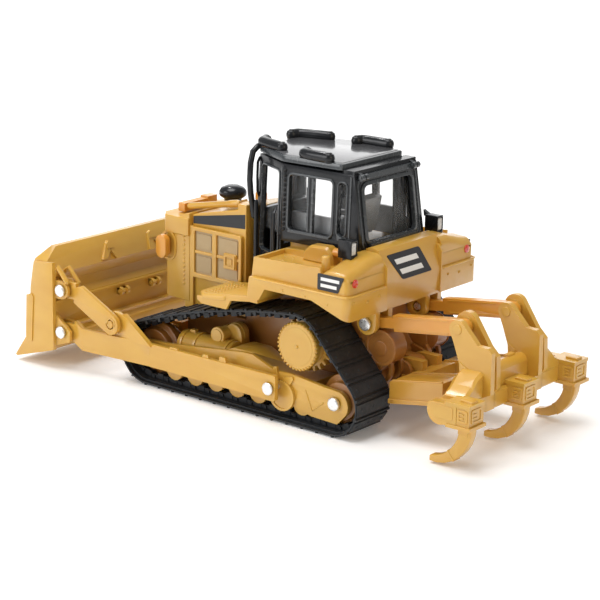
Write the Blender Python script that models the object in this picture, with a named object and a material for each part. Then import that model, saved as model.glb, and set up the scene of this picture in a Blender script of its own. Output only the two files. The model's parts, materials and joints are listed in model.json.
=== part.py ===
"""Toy track-type tractor with a straight blade and a three-shank ripper.

Lengths are in millimetres and are turned into metres when a mesh is made.  The machine faces -Y, its
left side is +X and the ground is z = 0.  Positions along Y are measured from the sprocket axle.
"""

import math

import bmesh
import bpy
from mathutils import Matrix, Vector

MM = 0.001
GAP = 0.3
SPROCKET_Y = 14.45
STEPS = 18

# Running gear: wheels are (y, z, outer radius of the belt round them)
TRACK_INNER = 9.2
TRACK_OUTER = 19.7
SHOE = 0.6
GROUSER = 0.35
SHOE_COUNT = 38
RAIL = 1.3
RAIL_SPANS = ((12.0, 13.4), (15.7, 16.9))
FRONT_IDLER = (-38.2, 6.8, 6.8)
REAR_IDLER = (9.1, 6.3, 6.3)
SPROCKET = (0.0, 15.6, 6.8)
TOP_RUN_RADIUS = 150.0
SPROCKET_TEETH = 22
HUB_FACE = 18.7
FRAME_SPAN = (17.2, 18.3)
ROLLER_PITCH = 5.42
ROLLER_COUNT = 7
AXLE = 0.8
HOLE = 1.1
PIN_HEAD = 1.3

# Blade
BLADE_PIVOT = (-4.8, 6.9)
BLADE_HALF = 24.9
ARM_SPAN = (20.0, 21.0)
ARM_FRONT_SPAN = (21.9, 22.9)
LOWER_PIN = (-57.2, 8.2)
UPPER_PIN = (-57.2, 17.0)
BRACE_END = (-44.7, 12.0)

# Body
CHASSIS_HALF = 8.7
HOOD_HALF = 8.3
HOOD_FRONT = -35.6
HOOD_REAR = -21.6
GUARD_FRONT = -43.6
GUARD_HALF = 9.0
FENDER_X = 20.9
CAB_SILL = 33.0
CAB_HEAD = 47.8
ROOF_TOP = 49.6
POD_TOP = 51.2
LIGHT_BARS = (((9.3, -6.6), (9.3, -0.6)), ((5.6, -20.0), (7.5, -13.5)))
LIGHT_BAR_RADIUS = 1.15
WALL = 1.0

# Ripper linkage: both links are this vector, so the carrier stays level
LINK = (20.0, 2.7)
LOWER_ROOT = (14.0, 10.3)
UPPER_ROOT = (10.0, 20.3)
LINK_SPAN = (7.0, 9.0)
EAR_SPANS = ((5.4, 6.7), (9.3, 10.5))
FRAME_ARM_SPAN = (7.1, 8.9)
FRAME_HALF = 12.0
SHANKS = {"left": 17.5, "centre": 0.0, "right": -17.5}

COLOURS = {
    "yellow": ((0.71, 0.43, 0.14), 0.42, 0.0),
    "amber": ((0.74, 0.34, 0.06), 0.38, 0.0),
    "rubber": ((0.012, 0.012, 0.014), 0.6, 0.0),
    "black": ((0.02, 0.021, 0.024), 0.25, 0.0),
    "clear": ((0.85, 0.88, 0.9), 0.08, 0.0),
    "steel": ((0.78, 0.78, 0.8), 0.25, 1.0),
    "red": ((0.55, 0.03, 0.02), 0.3, 0.0),
}


# ---------------------------------------------------------------- building blocks


def material(name):
    """The named finish, made once."""
    found = bpy.data.materials.get(name)
    if found:
        return found
    colour, roughness, metallic = COLOURS[name]
    made = bpy.data.materials.new(name)
    made.use_nodes = True
    shader = made.node_tree.nodes["Principled BSDF"]
    shader.inputs["Base Color"].default_value = (*colour, 1.0)
    shader.inputs["Roughness"].default_value = roughness
    shader.inputs["Metallic"].default_value = metallic
    return made


def solid(points, faces):
    """A closed shape from corner points in mm, with its faces turned outwards."""
    mesh = bpy.data.meshes.new("shape")
    mesh.from_pydata([Vector(point) * MM for point in points], [], faces)
    work = bmesh.new()
    work.from_mesh(mesh)
    bmesh.ops.recalc_face_normals(work, faces=work.faces)
    work.to_mesh(mesh)
    work.free()
    shape = bpy.data.objects.new("shape", mesh)
    bpy.context.collection.objects.link(shape)
    return shape


def loft(sections):
    """A shape through cross-sections that have equally many corners."""
    count = len(sections[0])
    points = [point for section in sections for point in section]
    faces = [list(range(count)), list(range(len(points) - count, len(points)))]
    for level in range(len(sections) - 1):
        low, high = level * count, (level + 1) * count
        for i in range(count):
            j = (i + 1) % count
            faces.append([low + i, low + j, high + j, high + i])
    return solid(points, faces)


def placed(axis, a, b, depth):
    """A point from its two coordinates across the axis and its depth along it."""
    return {"x": (depth, a, b), "y": (a, depth, b), "z": (a, b, depth)}[axis]


def prism(outline, axis, low, high):
    return loft([[placed(axis, a, b, depth) for a, b in outline] for depth in (low, high)])


def box(low, high):
    plan = [(low[0], low[1]), (high[0], low[1]), (high[0], high[1]), (low[0], high[1])]
    return prism(plan, "z", low[2], high[2])


def arc(centre, radius, first, last, steps):
    """Points on a circle from one angle to another, in degrees."""
    angles = [math.radians(first + (last - first) * i / steps) for i in range(steps + 1)]
    return [(centre[0] + radius * math.cos(a), centre[1] + radius * math.sin(a)) for a in angles]


def disc(axis, centre, radius, low, high, steps=STEPS):
    return prism(arc(centre, radius, 0, 360, steps)[:-1], axis, low, high)


def turned(axis, centre, profile, steps=STEPS):
    """A turned shape from (depth, radius) pairs along its axis."""
    sections = []
    for depth, radius in profile:
        sections.append([placed(axis, a, b, depth) for a, b in arc(centre, radius, 0, 360, steps)[:-1]])
    return loft(sections)


def rounded(corners, radius, steps=2):
    """A polygon with its corners rounded off."""
    outline = []
    for i, corner in enumerate(corners):
        here = Vector(corner)
        back = (Vector(corners[i - 1]) - here).normalized()
        ahead = (Vector(corners[(i + 1) % len(corners)]) - here).normalized()
        reach = radius / math.tan(back.angle(ahead) / 2)
        start, end = here + back * reach, here + ahead * reach
        for k in range(steps + 1):
            t = k / steps
            outline.append(tuple(start * (1 - t) ** 2 + here * 2 * t * (1 - t) + end * t**2))
    return outline


def rectangle(low, high, radius=0.0):
    corners = [(low[0], low[1]), (high[0], low[1]), (high[0], high[1]), (low[0], high[1])]
    return rounded(corners, radius) if radius else corners


def inset(outline, distance):
    """A convex outline, listed anticlockwise, with each side moved inwards."""
    moved = []
    for i, corner in enumerate(outline):
        here = Vector(corner)
        back = (here - Vector(outline[i - 1])).normalized()
        ahead = (Vector(outline[(i + 1) % len(outline)]) - here).normalized()
        inward_back = Vector((-back.y, back.x))
        inward_ahead = Vector((-ahead.y, ahead.x))
        inward = (inward_back + inward_ahead).normalized()
        moved.append(tuple(here + inward * distance / inward.dot(inward_back)))
    return moved


def lug(centre, radius, root, low, high):
    """A plate across X with a round end, rooted in a wall at y = root."""
    away = 1 if centre[0] > root else -1
    end = arc(centre, radius, -90 * away, 180 - 90 * away, 6)
    outline = [(root, centre[1] - radius * away), *end, (root, centre[1] + radius * away)]
    return prism(outline, "x", low, high)


def combine(base, operation, others):
    """Applies the other shapes to the base one after another and removes them."""
    for other in others:
        step = base.modifiers.new(operation, "BOOLEAN")
        step.operation = operation
        step.solver = "EXACT"
        step.object = other
        other.hide_render = True
        other.display_type = "WIRE"
    bpy.context.view_layer.update()
    graph = bpy.context.evaluated_depsgraph_get()
    mesh = bpy.data.meshes.new_from_object(base.evaluated_get(graph))
    base.modifiers.clear()
    base.data = mesh
    for other in others:
        bpy.data.objects.remove(other)
    return base


def join(base, *others):
    return combine(base, "UNION", others)


def cut(base, *others):
    return combine(base, "DIFFERENCE", others)


def mirrored(shape):
    """A copy of the shape on the other side of the machine."""
    mesh = shape.data.copy()
    mesh.transform(Matrix.Scale(-1, 4, (1, 0, 0)))
    mesh.flip_normals()
    twin = bpy.data.objects.new("shape", mesh)
    bpy.context.collection.objects.link(twin)
    return twin


def rig(name, x, y, z, parent=None):
    """An empty that marks a joint axis, or the machine's own frame."""
    empty = bpy.data.objects.new(name, None)
    empty.empty_display_size = 4 * MM
    bpy.context.collection.objects.link(empty)
    here = Vector((x, y, z)) * MM
    empty["at"] = here
    empty.parent = parent
    empty.location = here - Vector(parent["at"]) if parent else here
    return empty


def put(shape, name, finish, holder):
    """Names a finished shape, colours it and hangs it on its empty, with its origin there."""
    shape.name = name
    shape.data.name = name
    shape.data.transform(Matrix.Translation(-Vector(holder["at"])))
    shape.parent = holder
    shape.data.materials.clear()
    shape.data.materials.append(material(finish))
    shape.data.shade_smooth()
    shape.data.set_sharp_from_angle(angle=math.radians(35))
    return shape


def put_pair(shape, name, finish, left, right):
    twin = mirrored(shape)
    put(shape, name + "_left", finish, left)
    put(twin, name + "_right", finish, right)


# ---------------------------------------------------------------- running gear


def run_centre():
    """Centre of the large arc that the belt's top run follows, tangent to both of its wheels."""
    front, rear = Vector(FRONT_IDLER[:2]), Vector(SPROCKET[:2])
    reach_front, reach_rear = TOP_RUN_RADIUS - FRONT_IDLER[2], TOP_RUN_RADIUS - SPROCKET[2]
    span = (rear - front).length
    ahead = (rear - front) / span
    down = Vector((ahead.y, -ahead.x))
    base = (reach_front**2 - reach_rear**2 + span**2) / (2 * span)
    return front + ahead * base + down * math.sqrt(reach_front**2 - base**2)


def angle_from(centre, point):
    return math.degrees(math.atan2(point[1] - centre[1], point[0] - centre[0]))


def belt_path(depth, spacing):
    """Closed line of (y, z) points this far inside the belt's grouser tips, at about this spacing."""
    centre = run_centre()
    top_front = angle_from(centre, FRONT_IDLER)
    top_rear = angle_from(centre, SPROCKET)
    rise = angle_from(REAR_IDLER, SPROCKET)
    lean = math.degrees(math.asin((SPROCKET[2] - REAR_IDLER[2]) / math.dist(SPROCKET[:2], REAR_IDLER[:2])))
    back = rise - 90 + lean

    def sweep(middle, radius, first, last):
        steps = max(2, round(abs(math.radians(last - first)) * radius / spacing))
        return arc(middle, radius, first, last, steps)

    path = sweep(FRONT_IDLER, FRONT_IDLER[2] - depth, 270, top_front)
    path += sweep(centre, TOP_RUN_RADIUS - depth, top_front, top_rear)[1:]
    path += sweep(SPROCKET, SPROCKET[2] - depth, top_rear, back)[1:]
    path += sweep(REAR_IDLER, REAR_IDLER[2] - depth, back, -90)
    return path


def evenly(path, count):
    """Points at equal distances round a closed line, each with its direction."""
    closed = [Vector(point) for point in [*path, path[0]]]
    lengths = [0.0]
    for a, b in zip(closed, closed[1:]):
        lengths.append(lengths[-1] + (b - a).length)
    found = []
    segment = 0
    for i in range(count):
        target = lengths[-1] * i / count
        while lengths[segment + 1] < target:
            segment += 1
        a, b = closed[segment], closed[segment + 1]
        share = (target - lengths[segment]) / (lengths[segment + 1] - lengths[segment])
        found.append((a.lerp(b, share), (b - a).normalized()))
    return found


def track_belt():
    band_spacing = 2.8
    belt = prism(belt_path(GROUSER, band_spacing), "x", TRACK_INNER, TRACK_OUTER)
    hollow = prism(belt_path(GROUSER + SHOE, band_spacing), "x", TRACK_INNER - 1, TRACK_OUTER + 1)
    belt = cut(belt, hollow)
    for low, high in RAIL_SPANS:
        rail = prism(belt_path(GROUSER + SHOE / 2, band_spacing), "x", low, high)
        inside = prism(belt_path(GROUSER + SHOE + RAIL, band_spacing), "x", low - 1, high + 1)
        belt = join(belt, cut(rail, inside))
    bars = []
    foot, tip = 0.3, 0.2
    for point, ahead in evenly(belt_path(GROUSER, 0.2), SHOE_COUNT):
        out = Vector((-ahead.y, ahead.x))
        low, high = point - out * SHOE / 2, point + out * GROUSER
        corners = [low - ahead * foot, low + ahead * foot, high + ahead * tip, high - ahead * tip]
        bars.append(prism([tuple(c) for c in corners], "x", TRACK_INNER + 0.15, TRACK_OUTER - 0.15))
    return join(belt, *bars)


def idler(wheel):
    """A plain wheel: treads under the belt's rails, a flange between them and a bore."""
    tread = wheel[2] - GROUSER - SHOE - RAIL - GAP
    flange = wheel[2] - GROUSER - SHOE - GAP
    low, high = RAIL_SPANS[0][1] + GAP, RAIL_SPANS[1][0] - GAP
    profile = [(RAIL_SPANS[0][0], tread), (low, tread), (low, flange), (high, flange), (high, tread)]
    profile.append((RAIL_SPANS[1][1], tread))
    return cut(turned("x", wheel[:2], profile), disc("x", wheel[:2], HOLE, 0, 30, 8))


def sprocket():
    """Toothed ring and final-drive drum with a flanged outer cover."""
    centre = SPROCKET[:2]
    root, tip = 4.55, 5.5
    ring = []
    for i in range(SPROCKET_TEETH):
        for share, radius in ((0.0, root), (0.28, root), (0.42, tip), (0.68, tip), (0.82, root)):
            turn = 2 * math.pi * (i + share) / SPROCKET_TEETH
            ring.append((centre[0] + radius * math.cos(turn), centre[1] + radius * math.sin(turn)))
    wheel = prism(ring, "x", 13.9, 15.3)
    drum = [(TRACK_INNER + 0.2, 1.7), (11.3, 1.7), (11.3, 3.6), (13.0, 4.05), (17.1, 4.05)]
    drum += [(17.4, 4.65), (18.4, 4.65), (HUB_FACE, 4.3)]
    return join(wheel, turned("x", centre, drum, 24))


def frame_outline():
    """Side of the track frame, front idler fork first, then along the top to the rear lug and guide."""
    fork = arc(FRONT_IDLER[:2], 2.4, 265, 95, 6)
    lug_end = arc((9.3, 6.0), 2.75, 75, -50, 7)
    top = [(-33.5, 9.3), (-19.3, 10.9), (-13.6, 11.6), (-11.2, 11.6), (-5.8, 9.6), (-1.6, 9.8), (6.0, 8.9)]
    bottom = [(9.6, 2.3), (3.4, 2.5), (-3.0, 4.0), (-33.0, 4.2)]
    return [*fork, *top, *lug_end, *bottom]


def track_frame():
    low, high = FRAME_SPAN
    frame = prism(frame_outline(), "x", low, high)
    rollers = []
    for i in range(ROLLER_COUNT):
        rollers.append(disc("x", (-31.6 + ROLLER_PITCH * i, 4.25), 2.2, low, high - 0.25, 16))
    inner = prism([(-32.3, 3.4), (3.2, 3.4), (3.2, 9.0), (-32.3, 9.0)], "x", 10.4, low + 0.2)
    tank = turned("y", (14.4, 9.1), [(-32.4, 1.9), (-31.9, 2.7), (-18.6, 2.7)], 16)
    hump_side = [(-19.2, 8.0), (-18.6, 10.9), (-16.5, 11.7), (-12.0, 11.7), (-5.6, 8.6), (-5.6, 8.0)]
    hump = prism(hump_side, "x", 11.6, low + 0.2)
    stay = box((CHASSIS_HALF + GAP, -24, 4.2), (10.8, -12, 8.4))
    carrier = join(
        disc("x", (-22.7, 12.5), 1.5, TRACK_INNER + 0.4, 15.4, 16),
        prism([(-24.6, 8.6), (-18.4, 8.6), *arc((-20.6, 12.6), 2.1, 0, 180, 8)], "x", 10.6, 13.0),
    )
    frame = join(frame, inner, *rollers, tank, hump, stay, carrier)
    shoe_gap = box((11.8, -31.0, 2.0), (17.1, 3.0, 2.0 + GROUSER + SHOE + RAIL - 0.4))
    holes = [disc("x", wheel[:2], HOLE, 10, 20, 8) for wheel in (FRONT_IDLER, REAR_IDLER)]
    pivot_hole = disc("x", BLADE_PIVOT, HOLE, 15, 20, 8)
    return cut(frame, shoe_gap, *holes, pivot_hole)


def headed_pin(centre, low, high, head=0.5):
    """A metal pin across X with a flat head at its outer end."""
    profile = [(low, AXLE), (high, AXLE), (high, PIN_HEAD)]
    profile += [(high + head, PIN_HEAD), (high + head + 0.15, 1.05)]
    return turned("x", centre, profile, 10)


def running_gear(machine):
    put_pair(track_belt(), "track_belt", "rubber", machine, machine)
    put_pair(track_frame(), "track_frame", "yellow", machine, machine)
    wheels = {"front_idler": FRONT_IDLER, "rear_idler": REAR_IDLER, "sprocket": SPROCKET}
    for name, wheel in wheels.items():
        shape = sprocket() if name == "sprocket" else idler(wheel)
        left = rig(name + "_axle_left", 14, wheel[0], wheel[1], machine)
        right = rig(name + "_axle_right", -14, wheel[0], wheel[1], machine)
        put_pair(shape, name, "yellow", left, right)
    for name, wheel in (("front_idler_pin", FRONT_IDLER), ("rear_idler_pin", REAR_IDLER)):
        put_pair(headed_pin(wheel[:2], 11.0, FRAME_SPAN[1] + GAP), name, "steel", machine, machine)


# ---------------------------------------------------------------- body


def chassis():
    half = CHASSIS_HALF
    side = [(-36.5, 6.0), (-34.0, 3.0), (8.5, 3.0), (10.5, 5.0), (10.5, 12.5), (7.5, 16.5), (7.5, 21.8)]
    side += [(-21.0, 21.8), (-21.0, 14.6), (-36.5, 14.6)]
    pan = prism(side, "x", -half, half)
    drives = [disc("x", (9.4, 14.0), 4.0, side_x, side_x + 4.1, 20) for side_x in (4.6, -half)]
    tongue = lug(LOWER_ROOT, 2.4, 9.0, -1.3, 1.3)
    return cut(join(pan, *drives, tongue), disc("x", LOWER_ROOT, HOLE, -3, 3, 8))


def hood():
    side = [(HOOD_FRONT, 14.9), (HOOD_REAR, 14.9), (HOOD_REAR, 36.8), (HOOD_FRONT, 33.6)]
    shell = prism(side, "x", -HOOD_HALF, HOOD_HALF)
    ledges = [box((x, -23.8, 35.0), (x + 3.6, HOOD_REAR, 37.6)) for x in (-HOOD_HALF, HOOD_HALF - 3.6)]
    return join(shell, *ledges)


def radiator_guard():
    front, rear, half = GUARD_FRONT, HOOD_FRONT - GAP, GUARD_HALF

    def plan(grow):
        outline = [(half + grow, rear), (half + grow, front + 1.8 - grow), (half - 1.8, front - grow)]
        return outline + [(-x, y) for x, y in reversed(outline)]

    shell = join(prism(plan(0), "z", 15.7, 29.4), prism(plan(0.35), "z", 29.2, 32.8))
    top = prism([(-39.0, 32.0), (rear, 32.0), (rear, 33.9), (-38.2, 33.2)], "x", -half, half)
    recess = box((-6.3, front - 1, 17.2), (6.3, front + 1.4, 28.2))
    return cut(join(shell, top), recess)


def radiator_grille():
    """Upright slats on a back plate, drawn as one comb in plan."""
    back, face, depth = GUARD_FRONT + 1.1, GUARD_FRONT + 0.75, 0.6
    count, half = 9, 6.0
    pitch = 2 * half / count
    comb = [(-half, back), (half, back)]
    for i in range(count):
        x = half - i * pitch
        comb += [(x - 0.2 * pitch, face), (x - 0.2 * pitch, face - depth)]
        comb += [(x - 0.8 * pitch, face - depth), (x - 0.8 * pitch, face)]
    return prism(comb, "z", 17.5, 27.9)


def engine_door():
    low, high = HOOD_HALF + GAP, HOOD_HALF + 0.9
    door = prism(rectangle((-35.1, 21.0), (-22.1, 31.4)), "x", low, high)
    panes = []
    for y in (-34.2, -28.5):
        for z in (22.2, 26.8):
            panes.append(prism(rectangle((y, z), (y + 4.9, z + 4.0)), "x", high - 0.3, high + 1))
    latch = prism(rectangle((-26.3, 24.3), (-23.3, 27.2)), "x", low + 0.1, high + 0.25)
    return join(cut(door, *panes), latch)


def lift_trunnion():
    """Rounded cap on the side of the guard where a lift cylinder would sit."""
    profile = arc((-41.7, 27.5), 1.35, 0, 180, 8) + arc((-41.7, 25.4), 1.35, 180, 360, 8)
    return prism(profile, "x", GUARD_HALF + 0.7, GUARD_HALF + 2.2)


def hood_pipe():
    """Round pipe that lies along the left of the hood, a little nose-down."""
    start, end, radius = Vector((6.0, -38.9, 34.4)), Vector((6.0, -25.0, 37.1)), 0.68
    ahead = (end - start).normalized()
    across, up = Vector((1, 0, 0)), Vector((1, 0, 0)).cross(ahead)
    sections = []
    length = (end - start).length
    for share, size in ((0.0, 0.6), (0.05, 1.0), (0.78, 1.0), (0.79, 1.12), (0.95, 1.12), (1.0, 0.7)):
        middle = start + ahead * length * share
        ring = arc((0, 0), radius * size, 0, 360, 12)[:-1]
        sections.append([tuple(middle + across * a + up * b) for a, b in ring])
    return loft(sections)


def hood_rail():
    """Bar across the front of the hood, above the radiator, with a thicker end."""
    bar = box((-3.4, -41.3, 33.1), (6.3, -39.6, 34.8))
    return join(bar, box((-3.4, -41.5, 33.2), (-0.6, -39.4, 35.2)))


def pre_cleaner():
    profile = [(34.7, 1.75), (35.5, 1.75), (35.9, 2.3), (36.3, 2.8), (37.1, 2.8), (37.8, 2.3), (38.3, 1.2)]
    return turned("z", (-1.6, -33.6), profile, 20)


def exhaust_stub():
    profile = [(36.2, 1.2), (37.7, 1.2), (37.9, 0.95)]
    return turned("z", (-2.2, -26.6), profile, 14)


def rear_body():
    """Fenders with their front steps, the deck under the cab and the humped rear panel."""
    floor = 22.1
    fender_side = [(-10.6, 23.6), (-7.7, 23.6), (-6.3, 26.0), (4.9, 26.0), (13.3, 23.15), (13.3, 31.2)]
    fender_side += [(12.4, 32.4), (11.0, 32.8), (5.0, 32.2), (-9.6, 31.6)]
    step_side = [(-23.4, 20.9), (-10.2, 22.8), (-8.0, 22.8), (-8.0, 24.2), (-23.4, 22.2)]
    lip_side = [(-23.4, 20.9), (-22.2, 20.2), (-16.0, 20.2), (-14.8, 22.2), (-23.4, 21.6)]
    pieces = []
    for side in (1, -1):
        low, high = sorted((side * (TRACK_INNER - 0.6), side * FENDER_X))
        pieces.append(prism(fender_side, "x", low, high))
        plan = [(9.8, -8.2), (20.6, -8.2), (20.6, -21.6), (18.9, -23.9), (9.8, -23.9)]
        plan = [(side * x, y) for x, y in plan]
        plate = combine(prism(plan, "z", 20.0, 25.0), "INTERSECT", [prism(step_side, "x", -25, 25)])
        lip = prism(lip_side, "x", *sorted((side * (TRACK_OUTER + GAP), side * 20.6)))
        pieces += [plate, lip]
        for near, far in EAR_SPANS:
            ear = [(8.0, 25.0), (12.2, 25.0), *reversed(arc(UPPER_ROOT, 2.2, -180, 0, 10))]
            pieces.append(prism(ear, "x", *sorted((side * near, side * far))))
    centre_side = [(-9.6, floor), (12.6, 22.9), (13.0, 27.7), (11.5, 34.3), (9.6, 34.7)]
    centre_side += [(8.5, 34.3), (8.3, 32.5)]
    centre_side.append((-9.6, 32.5))
    body = join(prism(centre_side, "x", -9.2, 9.2), *pieces)
    low, high = -EAR_SPANS[1][1] - 1, EAR_SPANS[1][1] + 1
    return cut(body, disc("x", UPPER_ROOT, HOLE, low, high, 8))


def cab_plan(rear, half_rear, half_kink, half_front, front):
    """Six-sided cab plan, from the left front corner round the rear to the right front one."""
    kink = -10.5
    left = [(half_front, front), (half_kink, kink), (half_rear, rear)]
    return left + [(-x, y) for x, y in reversed(left)]


def cab_sections(shrink, low, high):
    """The cab's leaning walls, this far inside its outer faces, between two heights."""
    sill = inset(cab_plan(7.9, 10.2, 10.9, 6.2, -20.8), shrink)
    head = inset(cab_plan(5.8, 9.8, 10.4, 5.9, -20.2), shrink)
    sections = []
    for z in (low, high):
        share = (z - CAB_SILL) / (CAB_HEAD - CAB_SILL)
        level = [Vector(a).lerp(Vector(b), share) for a, b in zip(sill, head)]
        sections.append([(point.x, point.y, z) for point in level])
    return sections


def wall_cutter(start, end, outline, depth=3.0):
    """A cutter square to the upright wall over a plan line; the outline is (distance along it, height)."""
    a, b = Vector(start), Vector(end)
    ahead = (b - a).normalized()
    out = Vector((ahead.y, -ahead.x))
    sections = []
    for reach in (-depth, depth):
        ring = []
        for distance, z in outline:
            point = a + ahead * distance + out * reach
            ring.append((point.x, point.y, z))
        sections.append(ring)
    return loft(sections)


def cab_frame():
    lower_sill = 24.6
    shell = loft(cab_sections(0, CAB_SILL, CAB_HEAD))
    nose = [(6.3, -20.9), (10.6, -11.0), (-10.6, -11.0), (-6.3, -20.9)]
    skirt = prism(nose, "z", lower_sill, CAB_SILL + 0.6)
    rear_strip = prism([(-9.7, 3.2), (9.7, 3.2), (9.7, 5.7), (-9.7, 5.7)], "z", CAB_HEAD - 0.6, 48.5)
    shell = join(shell, skirt, rear_strip)
    cavity = loft(cab_sections(WALL, CAB_SILL - 1, CAB_HEAD - WALL))
    shaft = prism(inset(nose, WALL), "z", lower_sill - 1, CAB_SILL + 1)
    windows = [
        prism(rectangle((-9.0, 35.5), (-4.4, 46.0), 0.6), "x", -15, 15),
        prism(rectangle((-3.7, 35.5), (1.0, 46.0), 0.6), "x", -15, 15),
        prism(rectangle((2.4, 36.0), (4.2, 46.0), 0.7), "x", -15, 15),
        prism(rectangle((-7.6, 34.9), (7.6, 45.6), 0.9), "y", 3, 12),
        prism(rectangle((-4.7, 36.9), (4.7, 46.2), 0.7), "y", -25, -15),
    ]
    door_window = rectangle((1.6, 29.5), (9.2, 46.2), 0.7)
    for side in (1, -1):
        windows.append(wall_cutter((side * 10.6, -10.5), (side * 6.1, -20.5), door_window))
    return cut(shell, cavity, shaft, *windows)


def light_bar(front, rear, side):
    """Plan of a light bar with round ends; both points are given for the left side."""
    middle, end = Vector((side * front[0], front[1])), Vector((side * rear[0], rear[1]))
    lean = math.degrees(math.atan2(end.y - middle.y, end.x - middle.x))
    outline = arc(end, LIGHT_BAR_RADIUS, lean - 90, lean + 90, 6)
    return outline + arc(middle, LIGHT_BAR_RADIUS, lean + 90, lean + 270, 6)


def cab_roof():
    plan = [(6.0, -20.4), (10.5, -10.7), (9.5, 2.8), (-9.5, 2.8), (-10.5, -10.7), (-6.0, -20.4)]
    plate = prism(plan, "z", CAB_HEAD + GAP, ROOF_TOP)
    bars = [
        prism(light_bar(front, rear, side), "z", ROOF_TOP - 0.4, POD_TOP)
        for front, rear in LIGHT_BARS
        for side in (1, -1)
    ]
    return join(plate, *bars)


def cab_glazing():
    """Clear insert that stands just inside all the window openings."""
    low, high = CAB_SILL + GAP, CAB_HEAD - WALL - GAP
    outer = loft(cab_sections(WALL + GAP, low, high))
    inner = loft(cab_sections(WALL + GAP + 0.45, low - 1, high + 1))
    return cut(outer, inner)


def operator_seat():
    base = prism([(-4.6, 34.2), (1.0, 34.2), (1.0, 36.6), (-4.6, 37.0)], "x", -2.6, 2.6)
    pedestal = prism([(-3.4, 32.8), (0.4, 32.8), (0.4, 34.6), (-3.4, 34.6)], "x", -1.8, 1.8)
    back = prism([(0.2, 35.0), (2.0, 35.0), (3.2, 41.6), (2.0, 42.2), (1.2, 41.6)], "x", -2.5, 2.5)
    arms = [box((x, -4.2, 38.0), (x + 0.9, 1.6, 38.9)) for x in (-3.3, 2.4)]
    stalks = [box((x, -0.6, 36.0), (x + 0.7, 0.8, 38.4)) for x in (-3.2, 2.5)]
    return join(base, pedestal, back, *arms, *stalks)


def control_console():
    side = [(-17.6, 22.2), (-14.2, 22.2), (-14.2, 36.4), (-15.2, 38.4), (-17.6, 38.9)]
    return prism(side, "x", -3.6, 3.6)


def work_lamp():
    """Square housing with a recess for its lens at the back."""
    housing = prism(rectangle((12.7, 6.1), (14.7, 9.2)), "z", 33.2, 36.7)
    return cut(housing, prism(rectangle((13.0, 33.8), (14.4, 36.3), 0.35), "y", 8.8, 10))


def tail_lamp():
    profile = [(13.3 + GAP, 0.6), (13.9, 0.6), (14.05, 0.35)]
    return turned("y", (17.9, 29.95), profile, 14)


def body(machine):
    singles = (
        (chassis, "chassis", "yellow"),
        (hood, "hood", "yellow"),
        (radiator_guard, "radiator_guard", "yellow"),
        (radiator_grille, "radiator_grille", "black"),
        (hood_pipe, "hood_pipe", "amber"),
        (hood_rail, "hood_rail", "amber"),
        (pre_cleaner, "pre_cleaner", "black"),
        (exhaust_stub, "exhaust_stub", "amber"),
        (rear_body, "rear_body", "yellow"),
        (cab_frame, "cab_frame", "black"),
        (cab_roof, "cab_roof", "black"),
        (cab_glazing, "cab_glazing", "clear"),
        (operator_seat, "operator_seat", "black"),
        (control_console, "control_console", "black"),
    )
    for build, name, finish in singles:
        put(build(), name, finish, machine)
    pairs = (
        (engine_door, "engine_door", "yellow"),
        (lift_trunnion, "lift_trunnion", "amber"),
        (work_lamp, "work_lamp", "black"),
        (tail_lamp, "tail_lamp", "red"),
    )
    for build, name, finish in pairs:
        put_pair(build(), name, finish, machine, machine)


# ---------------------------------------------------------------- blade


def blade():
    section = [(-70.0, 1.2), (-69.6, 0.9), (-60.2, 3.8), (-59.4, 4.4), (-59.4, 14.6)]
    section += [(-60.7, 15.6), (-61.0, 17.4), (-59.6, 19.8), (-62.4, 24.7), (-63.6, 24.7)]
    section += [(-65.2, 21.0), (-66.1, 16.0), (-66.4, 10.0), (-67.0, 5.5)]
    plate_in, plate_out = BLADE_HALF - 0.9, BLADE_HALF
    board = prism(section, "x", -plate_in - 0.1, plate_in + 0.1)
    corners = []
    for side in (1, -1):
        wedge = [(side * 20.0, 24.9), (side * 26.0, 21.3), (side * 26.0, 30.0), (side * 20.0, 30.0)]
        corners.append(prism(wedge, "y", -75, -50))
    sill = box((-19.4, -60.5, 4.6), (19.4, -57.6, 8.9))
    board = join(cut(board, *corners), sill)
    end_side = [(-70.0, 1.2), (-69.6, 0.9), (-58.8, 4.2), (-58.8, 22.6)]
    end_side += [(-64.2, 22.0), (-64.9, 14.8), (-66.5, 14.6)]
    end_side.append((-66.9, 5.5))
    ends = [prism(end_side, "x", *sorted((s * plate_in, s * plate_out))) for s in (1, -1)]
    lugs = []
    for side in (1, -1):
        for pin in (LOWER_PIN, UPPER_PIN):
            for low, high in ((20.5, 21.5), (23.3, 24.0)):
                lugs.append(lug(pin, 1.9, -61.5, *sorted((side * low, side * high))))
        cheek = [(-61.5, 4.8), (-59.5, 4.8), (-55.1, 6.4), (-54.9, 8.6), (-56.4, 9.8), (-61.5, 13.5)]
        lugs.append(prism(cheek, "x", *sorted((side * 23.3, side * 24.0))))
    holes = [disc("x", pin, HOLE, -25, 25, 8) for pin in (LOWER_PIN, UPPER_PIN)]
    return cut(join(board, *ends, *lugs), *holes)


def arm_section(y, span, low, high):
    return [(span[0], y, low), (span[1], y, low), (span[1], y, high), (span[0], y, high)]


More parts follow.
